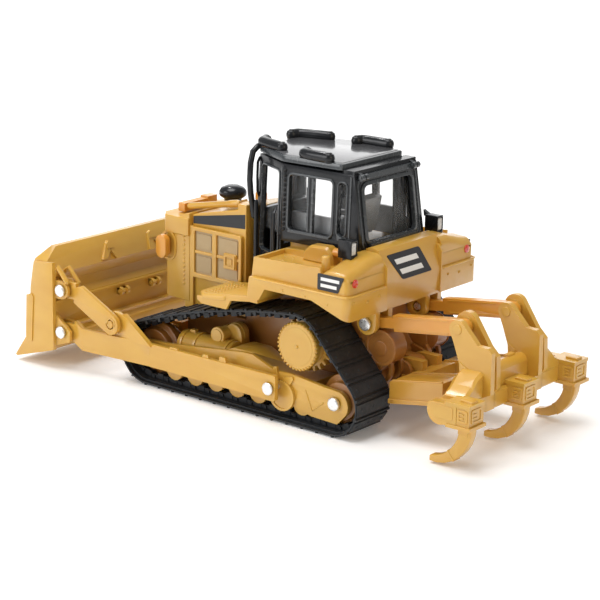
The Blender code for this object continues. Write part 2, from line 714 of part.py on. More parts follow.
def push_arm():
    """Flat arm along the outside of the belt, flared out to the blade, with the brace's bracket on top."""
    bar = prism(rounded([(-3.3, 4.5), (-3.3, 9.6), (-36.2, 9.4), (-36.2, 4.7)], 0.5, 2), "x", *ARM_SPAN)
    flare = loft([
        arm_section(-36.0, ARM_SPAN, 4.7, 9.4),
        arm_section(-52.4, (21.8, 23.0), 5.0, 9.5),
        arm_section(-54.6, (21.9, 22.9), 6.1, 10.8),
    ])
    eye = lug(LOWER_PIN, 1.8, -54.0, *ARM_FRONT_SPAN)
    bracket_side = [(-46.9, 9.0), (-34.9, 9.0), (-42.2, 14.3), *arc(BRACE_END, 2.4, 55, 180, 6)]
    bracket = prism(bracket_side, "x", 20.4, 21.5)
    stub = disc("x", BRACE_END, AXLE, 21.3, 22.9, 12)
    arm = join(bar, flare, bracket, eye, stub)
    return cut(arm, disc("x", LOWER_PIN, HOLE, 15, 30, 8), disc("x", BLADE_PIVOT, HOLE, 15, 30, 8))


def blade_brace():
    """Strut from the blade's upper lug down to the arm's bracket."""
    end = arc(BRACE_END, 2.15, 60, -120, 8)
    plate = prism([(-54.8, 14.6), (-54.8, 17.7), (-52.9, 18.4), *end], "x", *ARM_FRONT_SPAN)
    eye = lug(UPPER_PIN, 1.7, -54.2, *ARM_FRONT_SPAN)
    return cut(join(plate, eye), *[disc("x", at, HOLE, 15, 30, 8) for at in (UPPER_PIN, BRACE_END)])


def blade_group(machine):
    pivot = rig("blade_pivot", 0, *BLADE_PIVOT, machine)
    put(blade(), "blade", "yellow", pivot)
    put_pair(push_arm(), "push_arm", "yellow", pivot, pivot)
    put_pair(blade_brace(), "blade_brace", "yellow", pivot, pivot)
    for name, at in (("blade_lower_pin", LOWER_PIN), ("blade_upper_pin", UPPER_PIN)):
        put_pair(headed_pin(at, 20.7, 24.3, 0.3), name, "steel", pivot, pivot)
    pivot_pin = headed_pin(BLADE_PIVOT, 17.4, ARM_SPAN[1] + GAP, 0.25)
    put_pair(pivot_pin, "arm_pivot_pin", "steel", machine, machine)


# ---------------------------------------------------------------- ripper


def carried(root):
    """Where a link that starts at this root pivot meets the carrier."""
    return (root[0] + LINK[0], root[1] + LINK[1])


def link_bar(root, first, last, half):
    """A straight bar outline along a link, between two distances from its root pivot."""
    start = Vector(root)
    ahead = Vector(LINK).normalized()
    up = Vector((-ahead.y, ahead.x))
    a, b = start + ahead * first, start + ahead * last
    return [tuple(p) for p in (a - up * half, b - up * half, b + up * half, a + up * half)]


def ripper_link():
    """Upper link, slimmer near its root so that it clears the rear body's lower edge when raised."""
    end = carried(UPPER_ROOT)
    length = math.hypot(*LINK)
    slim = prism(link_bar(UPPER_ROOT, 0, 6.0, 0.95), "x", *LINK_SPAN)
    full = prism(link_bar(UPPER_ROOT, 5.2, length, 1.55), "x", *LINK_SPAN)
    eyes = [disc("x", UPPER_ROOT, 1.5, *LINK_SPAN, 16), disc("x", end, 1.55, *LINK_SPAN, 16)]
    holes = [disc("x", at, HOLE, 5, 12, 8) for at in (UPPER_ROOT, end)]
    return cut(join(slim, full, *eyes), *holes)


def ripper_frame():
    """Lower link: ears on the hitch pin, a wide plate and two arms to the carrier."""
    end = carried(LOWER_ROOT)
    plate_side = [(16.9, 6.9), (28.8, 9.0), (28.8, 12.9), (16.9, 10.8)]
    plate = prism(plate_side, "x", -FRAME_HALF, FRAME_HALF)
    opening = box((-4.5, 20.3, 0), (4.5, 26.3, 20))
    frame = cut(plate, opening)
    joined = []
    for low, high in ((1.6, 3.2), (-3.2, -1.6)):
        joined.append(lug(LOWER_ROOT, 2.5, 18.0, low, high))
    for side in (1, -1):
        low, high = sorted((side * FRAME_ARM_SPAN[0], side * FRAME_ARM_SPAN[1]))
        arm_side = [(28.0, 9.6), (end[0] - 0.9, end[1] - 1.2), (end[0] - 0.9, end[1] + 1.2), (28.0, 12.6)]
        joined.append(prism(arm_side, "x", low, high))
        joined.append(disc("x", end, 1.35, low, high, 16))
    frame = join(frame, *joined)
    holes = [disc("x", at, HOLE, -15, 15, 8) for at in (LOWER_ROOT, end)]
    return cut(frame, *holes)


def ripper_beam():
    """Carrier: cross beam with a pocket for each shank and two pairs of tall ears."""
    end_low, end_high = carried(LOWER_ROOT), carried(UPPER_ROOT)
    beam = box((-18.4, 31.0, 8.5), (18.4, 36.6, 12.0))
    parts = []
    for x in SHANKS.values():
        parts.append(box((x - 2.3, 35.0, 9.0), (x + 2.3, 40.8, 12.9)))
        parts.append(box((x - 2.6, 35.0, 8.3), (x + 2.6, 41.1, 9.2)))
    ear = [(30.4, 11.0), (36.0, 11.0), (35.8, 15.6), (33.6, 18.0)]
    ear += [*arc(end_high, 2.2, -10, 190, 10), (29.6, 15.0)]
    for side in (1, -1):
        for near, far in EAR_SPANS:
            parts.append(prism(ear, "x", *sorted((side * near, side * far))))
        web = [(33.4, 11.0), (36.0, 11.0), (35.6, 15.6), (33.6, 17.6)]
        span = sorted((side * (EAR_SPANS[0][0] + 0.2), side * (EAR_SPANS[1][1] - 0.2)))
        parts.append(prism(web, "x", *span))
    tie = prism([(32.3, 11.0), (35.8, 11.0), (35.8, 15.0), (34.6, 16.1), (32.3, 15.6)], "x", -5.8, 5.8)
    beam = join(beam, *parts, tie)
    cuts = [box((x - 1.25, 36.8, 5.0), (x + 1.25, 40.0, 20.0)) for x in SHANKS.values()]
    for side in (1, -1):
        low, high = sorted((side * (FRAME_ARM_SPAN[0] - GAP), side * (FRAME_ARM_SPAN[1] + GAP)))
        seat = [(30.0, 9.4), (32.5, 9.4), (35.8, 11.2), (35.8, 14.9), (30.0, 14.9)]
        stub_clear = cut(prism(seat, "x", low, high), disc("x", end_low, AXLE, -15, 15, 12))
        cuts.append(stub_clear)
        bore = disc("x", end_high, HOLE, *sorted((side * 5.8, side * 9.9)), 8)
        cuts.append(bore)
    return cut(beam, *cuts)


def shank(x):
    """Curved ripper tooth: straight through its pocket, then round an arc to a forward-pointing tip."""
    centre, radius, half_x = (31.1, 8.3), 7.3, 0.95
    sections = []
    ring = [(38.4, 13.4, 1.3), (38.4, 8.3, 1.3)]
    outline_steps = 8
    points = []
    for y, z, half in ring:
        points.append(((y - half, z), (y + half, z)))
    for i in range(1, outline_steps + 1):
        share = i / outline_steps
        turn = math.radians(-92 * share)
        half = 1.3 - 0.75 * share**2
        inner, outer = radius - half, radius + half
        near = (centre[0] + inner * math.cos(turn), centre[1] + inner * math.sin(turn))
        far = (centre[0] + outer * math.cos(turn), centre[1] + outer * math.sin(turn))
        points.append((near, far))
    for near, far in points:
        corners = (near, far)
        sections.append([
            (x - half_x, *corners[0]),
            (x + half_x, *corners[0]),
            (x + half_x, *corners[1]),
            (x - half_x, *corners[1]),
        ])
    return loft(sections)


def ripper_group(machine):
    end_low = carried(LOWER_ROOT)
    frame_rig = rig("ripper_frame_pivot", 0, *LOWER_ROOT, machine)
    carrier_rig = rig("ripper_carrier_pivot", 0, *end_low, frame_rig)
    link_rig = rig("ripper_link_pivot", 0, *UPPER_ROOT, machine)
    put(ripper_frame(), "ripper_frame", "yellow", frame_rig)
    put(ripper_beam(), "ripper_beam", "yellow", carrier_rig)
    for name, x in SHANKS.items():
        put(shank(x), "ripper_shank_" + name, "amber", carrier_rig)
    put_pair(ripper_link(), "ripper_link", "amber", link_rig, link_rig)
    upper_end = carried(UPPER_ROOT)
    put_pair(headed_pin(UPPER_ROOT, 5.6, 10.8, 0.35), "ripper_root_pin", "steel", machine, machine)
    ear_pin = disc("x", upper_end, AXLE, 6.1, 9.6, 12)
    put_pair(ear_pin, "ripper_ear_pin", "amber", carrier_rig, carrier_rig)
    put(headed_pin(LOWER_ROOT, -3.1, 3.5, 0.35), "ripper_hitch_pin", "steel", machine)


def main():
    for old in list(bpy.data.objects):
        bpy.data.objects.remove(old)
    machine = rig("machine", 0, SPROCKET_Y, 0)
    machine["at"] = Vector((0, 0, 0))
    running_gear(machine)
    body(machine)
    blade_group(machine)
    ripper_group(machine)


main()
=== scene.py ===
"""Looks of the toy bulldozer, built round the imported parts.

Lengths here are millimetres in the machine's own frame: +X is its left side, it faces -Y, the
ground is z = 0 and Y is measured from the sprocket axle.
"""

import json
import math
import random

import bmesh
import bpy
from mathutils import Matrix, Vector


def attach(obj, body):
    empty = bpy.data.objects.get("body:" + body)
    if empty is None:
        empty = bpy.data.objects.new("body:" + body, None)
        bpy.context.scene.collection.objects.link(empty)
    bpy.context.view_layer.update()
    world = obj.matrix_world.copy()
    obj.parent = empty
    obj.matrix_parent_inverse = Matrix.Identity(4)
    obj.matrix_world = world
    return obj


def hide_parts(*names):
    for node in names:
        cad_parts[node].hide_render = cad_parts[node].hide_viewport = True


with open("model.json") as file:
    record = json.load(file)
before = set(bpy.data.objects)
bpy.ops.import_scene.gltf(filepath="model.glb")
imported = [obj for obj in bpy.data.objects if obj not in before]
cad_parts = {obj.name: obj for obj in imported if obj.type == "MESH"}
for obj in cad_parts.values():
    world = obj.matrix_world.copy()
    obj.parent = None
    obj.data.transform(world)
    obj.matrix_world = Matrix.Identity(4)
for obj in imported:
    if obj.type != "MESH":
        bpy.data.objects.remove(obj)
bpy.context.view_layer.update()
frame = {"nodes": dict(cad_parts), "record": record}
scene = bpy.context.scene
random.seed(7)

MILLIMETRE = 0.001
SPROCKET_Y = 14.45
SIDES = {"left": 1, "right": -1}


def metres(point):
    """Place in the world for a point in the machine's frame."""
    x, y, z = point
    return Vector((x, y + SPROCKET_Y, z)) * MILLIMETRE


def across(way, low, high):
    """Span on X between two distances from the middle, to the left (1) or to the right (-1)."""
    return sorted((way * low, way * high))


def mirrored(points, way):
    """(x, y, z) points of the left side, moved to the side they are wanted on."""
    return [(way * x, y, z) for x, y, z in points]


# ---- camera, floor and light


# In metres and in the world's axes, as the photo was taken.
CAMERA_PLACE = (0.299545, 0.240576, 0.125479)
CAMERA_AHEAD = (-0.75092, -0.60305, -0.26917)
CAMERA_ROLL = math.radians(0.99)
CAMERA_LENS = 120.6
AIM = (0, 0, 0.02)
WORLD_LIGHT = 0.34
FLOOR_REACH = 6.0
FLOOR_DROP = 0.00002


def add_camera():
    forward = Vector(CAMERA_AHEAD).normalized()
    right = forward.cross(Vector((0, 0, 1))).normalized()
    up = right.cross(forward)
    level_right = right * math.cos(CAMERA_ROLL) + up * math.sin(CAMERA_ROLL)
    level_up = up * math.cos(CAMERA_ROLL) - right * math.sin(CAMERA_ROLL)
    data = bpy.data.cameras.new("camera")
    data.lens = CAMERA_LENS
    data.sensor_width = 36
    data.clip_start = 0.01
    data.clip_end = 50
    camera = bpy.data.objects.new("camera", data)
    turn = Matrix((level_right, level_up, -forward)).transposed().to_4x4()
    camera.matrix_world = Matrix.Translation(CAMERA_PLACE) @ turn
    scene.collection.objects.link(camera)
    scene.camera = camera


def add_area(name, place, aim, size, power, colour=(1, 1, 1)):
    """Round soft lamp that the camera doesn't see."""
    data = bpy.data.lights.new(name, "AREA")
    data.shape = "DISK"
    data.size = size
    data.energy = power
    data.color = colour
    lamp = bpy.data.objects.new(name, data)
    lamp.location = place
    lamp.rotation_euler = (Vector(aim) - Vector(place)).to_track_quat("-Z", "Y").to_euler()
    lamp.visible_camera = False
    scene.collection.objects.link(lamp)


def add_lights():
    world = bpy.data.worlds.new("studio")
    scene.world = world
    world.use_nodes = True
    background = world.node_tree.nodes["Background"]
    background.inputs["Color"].default_value = (1, 1, 1, 1)
    background.inputs["Strength"].default_value = WORLD_LIGHT
    scene.view_settings.view_transform = "Standard"
    add_area("key", (0.62, -0.34, 0.34), AIM, 0.50, 2.35)
    add_area("top", (0.12, -0.06, 0.75), AIM, 0.5, 3.9)
    add_area("backdrop", (-0.50, -0.40, 0.30), (0, 0, 0.03), 0.60, 1.15)
    add_area("rear", (0.12, 0.62, 0.30), AIM, 0.35, 0.70, (1.0, 0.84, 0.58))
    add_area("glint", (-0.16, -0.30, 0.52), (0, 0.02, 0.02), 0.05, 0.45)


def add_floor():
    mesh = bpy.data.meshes.new("floor")
    plan = [(-1, -1), (1, -1), (1, 1), (-1, 1)]
    mesh.from_pydata([(x * FLOOR_REACH, y * FLOOR_REACH, 0) for x, y in plan], [], [(0, 1, 2, 3)])
    floor = bpy.data.objects.new("floor", mesh)
    floor.location.z = -FLOOR_DROP
    scene.collection.objects.link(floor)
    white = {"Base_Color": (0.93, 0.93, 0.93, 1), "Emission_Color": (1, 1, 1, 1), "Emission_Strength": 0.10}
    mesh.materials.append(Look("floor_white", 0.55, Specular_IOR_Level=0.2, **white).material)


# ---- materials


class Look:
    """A principled material whose colour, roughness and surface come from procedural patterns."""

    def __init__(self, name, roughness=0.4, metallic=0.0, **uniform):
        self.material = bpy.data.materials.new(name)
        self.material.use_nodes = True
        self.tree = self.material.node_tree
        self.shader = self.tree.nodes["Principled BSDF"]
        self.shader.inputs["Roughness"].default_value = roughness
        self.shader.inputs["Metallic"].default_value = metallic
        for socket, value in uniform.items():
            self.shader.inputs[socket.replace("_", " ")].default_value = value
        self.place = self.tree.nodes.new("ShaderNodeTexCoord").outputs["Object"]
        self.height = None

    def feed(self, node, socket, value):
        if isinstance(value, bpy.types.NodeSocket):
            self.tree.links.new(value, node.inputs[socket])
        else:
            node.inputs[socket].default_value = value

    def node(self, kind, **sockets):
        made = self.tree.nodes.new(kind)
        for socket, value in sockets.items():
            self.feed(made, socket, value)
        return made

    def noise(self, scale, detail=3.0, roughness=0.55, stretch=None):
        place = self.place
        if stretch:
            place = self.node("ShaderNodeMapping", Vector=place, Scale=stretch).outputs["Vector"]
        kind = {"Scale": scale, "Detail": detail, "Roughness": roughness}
        return self.node("ShaderNodeTexNoise", Vector=place, **kind).outputs["Fac"]

    def cells(self, scale):
        return self.node("ShaderNodeTexVoronoi", Vector=self.place, Scale=scale).outputs["Distance"]

    def spread(self, value, low, high, out_low=0.0, out_high=1.0):
        """Stretch a pattern's range from low..high to out_low..out_high."""
        ends = {"From Min": low, "From Max": high, "To Min": out_low, "To Max": out_high}
        return self.node("ShaderNodeMapRange", Value=value, **ends).outputs["Result"]

    def blend(self, share, first, second):
        """Colour between two colours."""
        made = self.node("ShaderNodeMix")
        made.data_type = "RGBA"
        self.feed(made, "Factor", share)
        made.inputs[6].default_value = (*first, 1)
        made.inputs[7].default_value = (*second, 1)
        return made.outputs[2]

    def colour(self, value):
        self.feed(self.shader, "Base Color", value)

    def rough(self, value):
        self.feed(self.shader, "Roughness", value)

    def bump(self, value, distance, strength):
        """Add a pattern, this many metres deep, to the surface."""
        made = self.node("ShaderNodeBump", Height=value, Distance=distance, Strength=strength)
        if self.height is not None:
            self.feed(made, "Normal", self.height)
        self.height = made.outputs["Normal"]
        self.feed(self.shader, "Normal", self.height)


def moulded(name, base, shade, glow, roughness):
    """Coloured plastic with faint flow marks, a fine satin grain and a hint of depth."""
    reach = (0.0012, 0.0006, 0.0002)
    depth = {"Subsurface_Weight": glow, "Subsurface_Radius": reach, "Subsurface_Scale": 1.0}
    look = Look(name, roughness, Coat_Weight=0.6, Coat_Roughness=0.22, Specular_IOR_Level=0.6, **depth)
    flow = look.noise(95.0, 3.0, 0.5, (1.0, 1.0, 2.2))
    look.colour(look.blend(look.spread(flow, 0.3, 0.7), base, shade))
    look.rough(look.spread(look.noise(700.0), 0.3, 0.7, roughness - 0.06, roughness + 0.08))
    look.bump(look.noise(5200.0, 2.0), 0.00001, 0.35)
    look.bump(look.noise(420.0, 2.0), 0.00006, 0.16)
    return look.material


def painted(name, base, roughness, coat=0.5):
    """Dark even plastic or paint; the coat sets how much it shines."""
    shine = 0.2 + coat * 0.6
    look = Look(name, roughness, Coat_Weight=coat, Coat_Roughness=0.08, Specular_IOR_Level=shine)
    paler = tuple(part * 1.25 for part in base)
    look.colour(look.blend(look.spread(look.noise(160.0), 0.35, 0.7), base, paler))
    look.rough(look.spread(look.noise(900.0), 0.3, 0.7, roughness - 0.03, roughness + 0.03))
    look.bump(look.noise(260.0, 2.0), 0.00005, 0.1)
    return look.material


def soft_rubber(name):
    """Black rubber with a little dust in patches."""
    look = Look(name, 0.55)
    dust = look.spread(look.noise(240.0, 4.0, 0.65), 0.45, 0.75)
    look.colour(look.blend(dust, (0.010, 0.0125, 0.016), (0.022, 0.026, 0.031)))
    look.rough(look.spread(look.noise(1500.0), 0.3, 0.7, 0.42, 0.62))
    look.bump(look.noise(3600.0, 3.0), 0.00002, 0.5)
    return look.material


def bright_pin(name):
    """Plated pin heads, lightly tumbled."""
    look = Look(name, 0.3, 0.85)
    worn = look.spread(look.noise(900.0), 0.3, 0.7)
    look.colour(look.blend(worn, (0.78, 0.78, 0.78), (0.90, 0.90, 0.89)))
    look.rough(look.spread(look.noise(2600.0, 4.0), 0.3, 0.7, 0.22, 0.42))
    look.bump(look.noise(2200.0), 0.00002, 0.3)
    return look.material


def clear_plastic(name):
    """Thin glazing: nearly all light passes, faint haze and a soft shine."""
    look = Look(name, 0.08, Alpha=0.05, Coat_Weight=0.3, Coat_Roughness=0.04)
    look.colour(look.blend(look.noise(80.0), (0.70, 0.73, 0.76), (0.80, 0.83, 0.85)))
    look.rough(look.spread(look.noise(300.0), 0.3, 0.7, 0.05, 0.12))
    return look.material


def lens(name, base, edge, roughness):
    """Coloured lens moulded in small cells."""
    look = Look(name, roughness, Coat_Weight=1.0, Coat_Roughness=0.05)
    look.colour(look.blend(look.spread(look.cells(1800.0), 0.1, 0.6), base, edge))
    look.bump(look.cells(1800.0), 0.00005, 0.4)
    return look.material


YELLOW = moulded("yellow_plastic", (0.66, 0.375, 0.050), (0.60, 0.32, 0.036), 0.12, 0.36)
# Deeper orange copy of the yellow plastic with more glow: painted shade, the orange that the yellow takes
# in shadow.
PAINTED_SHADE_ORANGE = moulded("orange_plastic", (0.72, 0.33, 0.036), (0.66, 0.28, 0.026), 0.22, 0.34)
# Reddish brown copy of the yellow plastic: painted shade for the chassis, the idlers and the final drives,
# which sit in shadow between and under the tracks.
PAINTED_SHADE_BROWN = moulded("painted_shade_brown_plastic", (0.38, 0.155, 0.022), (0.30, 0.11, 0.016), 0.10, 0.42)
# Deeper yellow for the ripper's lower frame: painted shade, where the frame sits low between the tracks.
PAINTED_SHADE_FRAME = moulded("frame_painted_shade", (0.57, 0.295, 0.036), (0.50, 0.245, 0.026), 0.12, 0.38)
WHITE = moulded("plate_white", (0.86, 0.86, 0.84), (0.80, 0.80, 0.78), 0.0, 0.42)
# Greyed brown for the door panels: painted shade in their recesses behind the door frame.
PAINTED_SHADE_PANEL = moulded("shaded_plastic", (0.46, 0.32, 0.145), (0.40, 0.265, 0.11), 0.05, 0.48)
RUBBER = soft_rubber("track_rubber")
BLACK = painted("black_plastic", (0.010, 0.011, 0.013), 0.24, 0.15)
STRIPE = painted("stripe_black", (0.020, 0.021, 0.024), 0.34, 0.15)
PLATE = painted("plate_black", (0.026, 0.027, 0.031), 0.38, 0.15)
CAB_GREY = painted("cab_black", (0.036, 0.041, 0.045), 0.26)
# Lighter grey than the cab's for the roof's top panel: the roof's own dark grey with a painted reflection
# of the bright backdrop on the flat top.
ROOF_PAINTED_REFLECTION = painted("roof_painted_reflection", (0.10, 0.10, 0.105), 0.20)
# Mid grey, lighter than the cab's black, for the seat and the low inner walls: painted light for the haze
# seen through the rear window.
SEAT_PAINTED_HAZE = painted("seat_grey_painted_haze", (0.16, 0.165, 0.17), 0.40)
CLEAR = clear_plastic("clear_plastic")
STEEL = bright_pin("pin_steel")
RED = lens("red_lens", (0.74, 0.055, 0.020), (0.60, 0.030, 0.012), 0.25)
WHITE_LENS = lens("white_lens", (0.80, 0.80, 0.78), (0.62, 0.62, 0.62), 0.2)

FINISH = {
    "yellow_plastic": YELLOW,
    "orange_plastic": PAINTED_SHADE_ORANGE,
    "track_rubber": RUBBER,
    "black_plastic": BLACK,
    "clear_plastic": CLEAR,
    # Parts of the orange slot get the painted-shade orange.
    "pin_steel": STEEL,
    "red_lens": RED,
}


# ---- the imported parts


SLOTS = {entry["node"]: entry["material_slot"] for entry in frame["record"]["subparts"]}
# Looks by a word in the node's name, where they differ from the slot's own. Pins keep the slot's.
SPECIAL_LOOKS = {
    # The seat gets the grey with painted haze.
    "operator_seat": SEAT_PAINTED_HAZE,
    "hood_pipe": YELLOW,
    # The ripper's lower frame gets the painted-shade yellow.
    "ripper_frame": PAINTED_SHADE_FRAME,
    "ripper_shank": YELLOW,
    # Chassis and idlers get the painted-shade brown.
    "chassis": PAINTED_SHADE_BROWN,
    "idler": PAINTED_SHADE_BROWN,
}
EDGE_ANGLE = math.radians(32)
FLAT_ANGLE = math.radians(1.5)
WELD_GAP = 0.000002
PACKED_EDGE = 0.18


def round_edges(piece, width):
    """Small rounds, this many millimetres wide, along the sharp edges."""
    edge = piece.modifiers.new("edge", "BEVEL")
    edge.width = width * MILLIMETRE
    edge.segments = 2
    edge.limit_method = "ANGLE"
    edge.angle_limit = EDGE_ANGLE
    edge.use_clamp_overlap = True
    edge.harden_normals = True


def ease_edges(piece, width):
    """Smooth shading and rounded edges on a mesh of many small triangles."""
    for face in piece.data.polygons:
        face.use_smooth = True
    weld = piece.modifiers.new("weld", "WELD")
    weld.merge_threshold = WELD_GAP
    flat = piece.modifiers.new("flat", "DECIMATE")
    flat.decimate_type = "DISSOLVE"
    flat.angle_limit = FLAT_ANGLE
    round_edges(piece, width)


def dress_packed_parts():
    """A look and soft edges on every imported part, also on those that other pieces stand for."""
    for name, node in frame["nodes"].items():
        look = FINISH[SLOTS[name]]
        for word, special in SPECIAL_LOOKS.items():
            if word in name and "pin" not in name:
                look = special
        node.data.materials.clear()
        node.data.materials.append(look)
        ease_edges(node, PACKED_EDGE)


# ---- mesh tools


def arc(centre, radius, first, last, steps):
    """Points along an arc, angles in degrees from the first axis towards the second."""
    points = []
    for i in range(steps + 1):
        turn = math.radians(first + (last - first) * i / steps)
        points.append((centre[0] + radius * math.cos(turn), centre[1] + radius * math.sin(turn)))
    return points


def circle(centre, radius, sides=24):
    return arc(centre, radius, 0, 360 - 360 / sides, sides - 1)


def placed(outline, axis, value):
    """A flat outline set at this height along an axis; its own two axes keep their order."""
    where = "xyz".index(axis)
    points = []
    for pair in outline:
        point = list(pair)
        point.insert(where, value)
        points.append(Vector(point))
    return points


def rounded(low, high, radius, steps=4):
    """Rectangle from its low to its high corner with rounded corners."""
    (a0, b0), (a1, b1) = low, high
    points = []
    corners = (((a1, b1), 0), ((a0, b1), 90), ((a0, b0), 180), ((a1, b0), 270))
    for (a, b), start in corners:
        centre = (a - radius if a == a1 else a + radius, b - radius if b == b1 else b + radius)
        points += arc(centre, radius, start, start + 90, steps)
    return points


def rectangle(low, high):
    return [low, (high[0], low[1]), high, (low[0], high[1])]


def ring(centre, first, second, radius, sides):
    """Circle of points round a place, in the plane of two directions."""
    points = []
    for k in range(sides):
        spin = 2 * math.pi * k / sides
        points.append(centre + (first * math.cos(spin) + second * math.sin(spin)) * radius)
    return points


def bend(start, corner, end, steps):
    """Curve from start to end that is drawn towards the corner."""
    points = []
    for k in range(steps + 1):
        t = k / steps
        points.append(start * (1 - t) ** 2 + corner * 2 * t * (1 - t) + end * t**2)
    return points


def corners(outline):
    """Each point of a closed outline, between the one before and the one after."""
    points = [Vector(point) for point in outline]
    return zip(points[-1:] + points[:-1], points, points[1:] + points[:1])


def softened(outline, reach, steps=4):
    """Outline whose corners are eased into curves that start this far from them."""
    points = []
    for before, corner, after in corners(outline):
        start = corner + (before - corner).normalized() * reach
        end = corner + (after - corner).normalized() * reach
        points += [tuple(point) for point in bend(start, corner, end, steps)]
    return points


def softened_line(points, steps=3):
    """Open line with its inner corners rounded."""
    points = [Vector(point) for point in points]
    line = points[:1]
    for before, corner, after in zip(points, points[1:], points[2:]):
        line += bend((before + corner) / 2, corner, (corner + after) / 2, steps)
    line.append(points[-1])
    kept = line[:1]
    for point in line[1:]:
        if (point - kept[-1]).length > 0.01:
            kept.append(point)
    return kept


def inset(outline, amount):
    """Anticlockwise outline moved inwards by this much."""
    points = []
    for before, corner, after in corners(outline):
        first, second = (corner - before).normalized(), (after - corner).normalized()
        inward = Vector((-first.y, first.x)) + Vector((-second.y, second.x))
        points.append(tuple(corner + inward * (amount * 2 / inward.length_squared)))
    return points


class Shape:
    """Closed solids gathered in one mesh, in the machine's millimetres."""

    def __init__(self):
        self.mesh = bmesh.new()

    def loft(self, rings, closed=False):
        """Skin over rings with equal numbers of points, capped at both ends unless it closes."""
        rows = [[self.mesh.verts.new(point) for point in points] for points in rings]
        pairs = list(zip(rows, rows[1:]))
        if closed:
            pairs.append((rows[-1], rows[0]))
        count = len(rows[0])
        faces = []
        for first, second in pairs:
            for i in range(count):
                j = (i + 1) % count
                faces.append(self.mesh.faces.new((first[i], first[j], second[j], second[i])))
        if not closed:
            faces.append(self.mesh.faces.new(rows[0][::-1]))
            faces.append(self.mesh.faces.new(rows[-1]))
        bmesh.ops.recalc_face_normals(self.mesh, faces=faces)
        return self

    def prism(self, outline, axis, low, high):
        return self.loft([placed(outline, axis, low), placed(outline, axis, high)])

    def plate(self, outline, way, low, high):
        """(y, z) outline between two distances from the middle, on the left or the right."""
        return self.prism(outline, "x", *across(way, low, high))

    def block(self, low, high):
        return self.prism(rectangle(low[:2], high[:2]), "z", low[2], high[2])

    def frame(self, outer, inner, axis, low, high):
        """Flat ring between two outlines with equal numbers of points."""
        rings = [placed(outer, axis, low), placed(outer, axis, high)]
        rings += [placed(inner, axis, high), placed(inner, axis, low)]
        return self.loft(rings, closed=True)

    def turned(self, axis, centre, profile, sides=24, closed=False):
        """Solid of revolution from (place along the axis, radius) pairs."""
        rings = []
        for place, radius in profile:
            rings.append(placed(circle(centre, radius, sides), axis, place))
        return self.loft(rings, closed)

    def disc(self, axis, centre, radius, low, high, sides=24, crown=0.0):
        """Round plate, with its high end rounded over by the crown."""
        profile = [(low, radius)]
        if crown:
            way = math.copysign(crown, high - low)
            for keep, rise in arc((0.0, 0.0), 1.0, 0, 90, 4):
                profile.append((high - way + way * rise, radius - crown * (1 - keep)))
        else:
            profile.append((high, radius))
        return self.turned(axis, centre, profile, sides)

    def stud(self, point, normal, radius, height, sides=10):
        """Low dome on a surface."""
        normal = Vector(normal).normalized()
        sideways = normal.orthogonal().normalized()
        along = normal.cross(sideways)
        rings = []
        for size, rise in arc((0.0, 0.0), 1.0, 0, 88, 4):
            centre = Vector(point) + normal * rise * height
            rings.append(ring(centre, sideways, along, radius * size, sides))
        foot = [corner - normal * 0.1 for corner in rings[0]]
        return self.loft([foot, *rings])

    def tube(self, path, radius, sides=10):
        """Round bar along a path, its ends domed."""
        points = [Vector(point) for point in path]
        aheads = []
        for i, point in enumerate(points):
            before, after = points[max(i - 1, 0)], points[min(i + 1, len(points) - 1)]
            aheads.append((after - before).normalized())
        dome = arc((0.0, 0.0), radius, 9, 69, 2)
        stations = [(points[0] - aheads[0] * reach, aheads[0], size) for reach, size in dome]
        stations += [(point, ahead, radius) for point, ahead in zip(points, aheads)]
        stations += [(points[-1] + aheads[-1] * reach, aheads[-1], size) for reach, size in dome[::-1]]
        sideways = aheads[0].orthogonal().normalized()
        rings = []
        for place, ahead, size in stations:
            sideways = (sideways - ahead * sideways.dot(ahead)).normalized()
            rings.append(ring(place, sideways, ahead.cross(sideways), size, sides))
        return self.loft(rings)

    def piece(self, name, slot="yellow_plastic", look=None, stands_for=(), edge=0.12, body="machine"):
        """Finish the mesh as one named piece that rides on a body."""
        for vert in self.mesh.verts:
            vert.co = metres(vert.co)
        data = bpy.data.meshes.new(name)
        self.mesh.to_mesh(data)
        self.mesh.free()
        for face in data.polygons:
            face.use_smooth = True
        data.materials.append(look or FINISH[slot])
        made = bpy.data.objects.new(name, data)
        scene.collection.objects.link(made)
        if edge:
            round_edges(made, edge)
        else:
            data.set_sharp_from_angle(angle=EDGE_ANGLE)
        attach(made, body)
        if stands_for:
            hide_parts(*stands_for)


# ---- tracks

FRONT_IDLER = (-38.2, 6.8, 6.8)
REAR_IDLER = (9.1, 6.3, 6.3)
SPROCKET = (0.0, 15.6, 6.8)
TOP_RUN_RADIUS = 150.0
SHOE_COUNT = 38
GROUSER = 0.35
SHOE = 0.6
PAD_HALF = 1.22
TOP_RUN_FLOOR = 13.2
BELT_INNER, BELT_OUTER = 9.2, 19.7
BAND_STEP = 0.9
BOLT_ROWS = (10.6, 14.55, 18.2)
CHAIN_RAILS = ((12.0, 13.4), (15.7, 16.9))


def heading(centre, point):
    return math.degrees(math.atan2(point[1] - centre[1], point[0] - centre[0]))


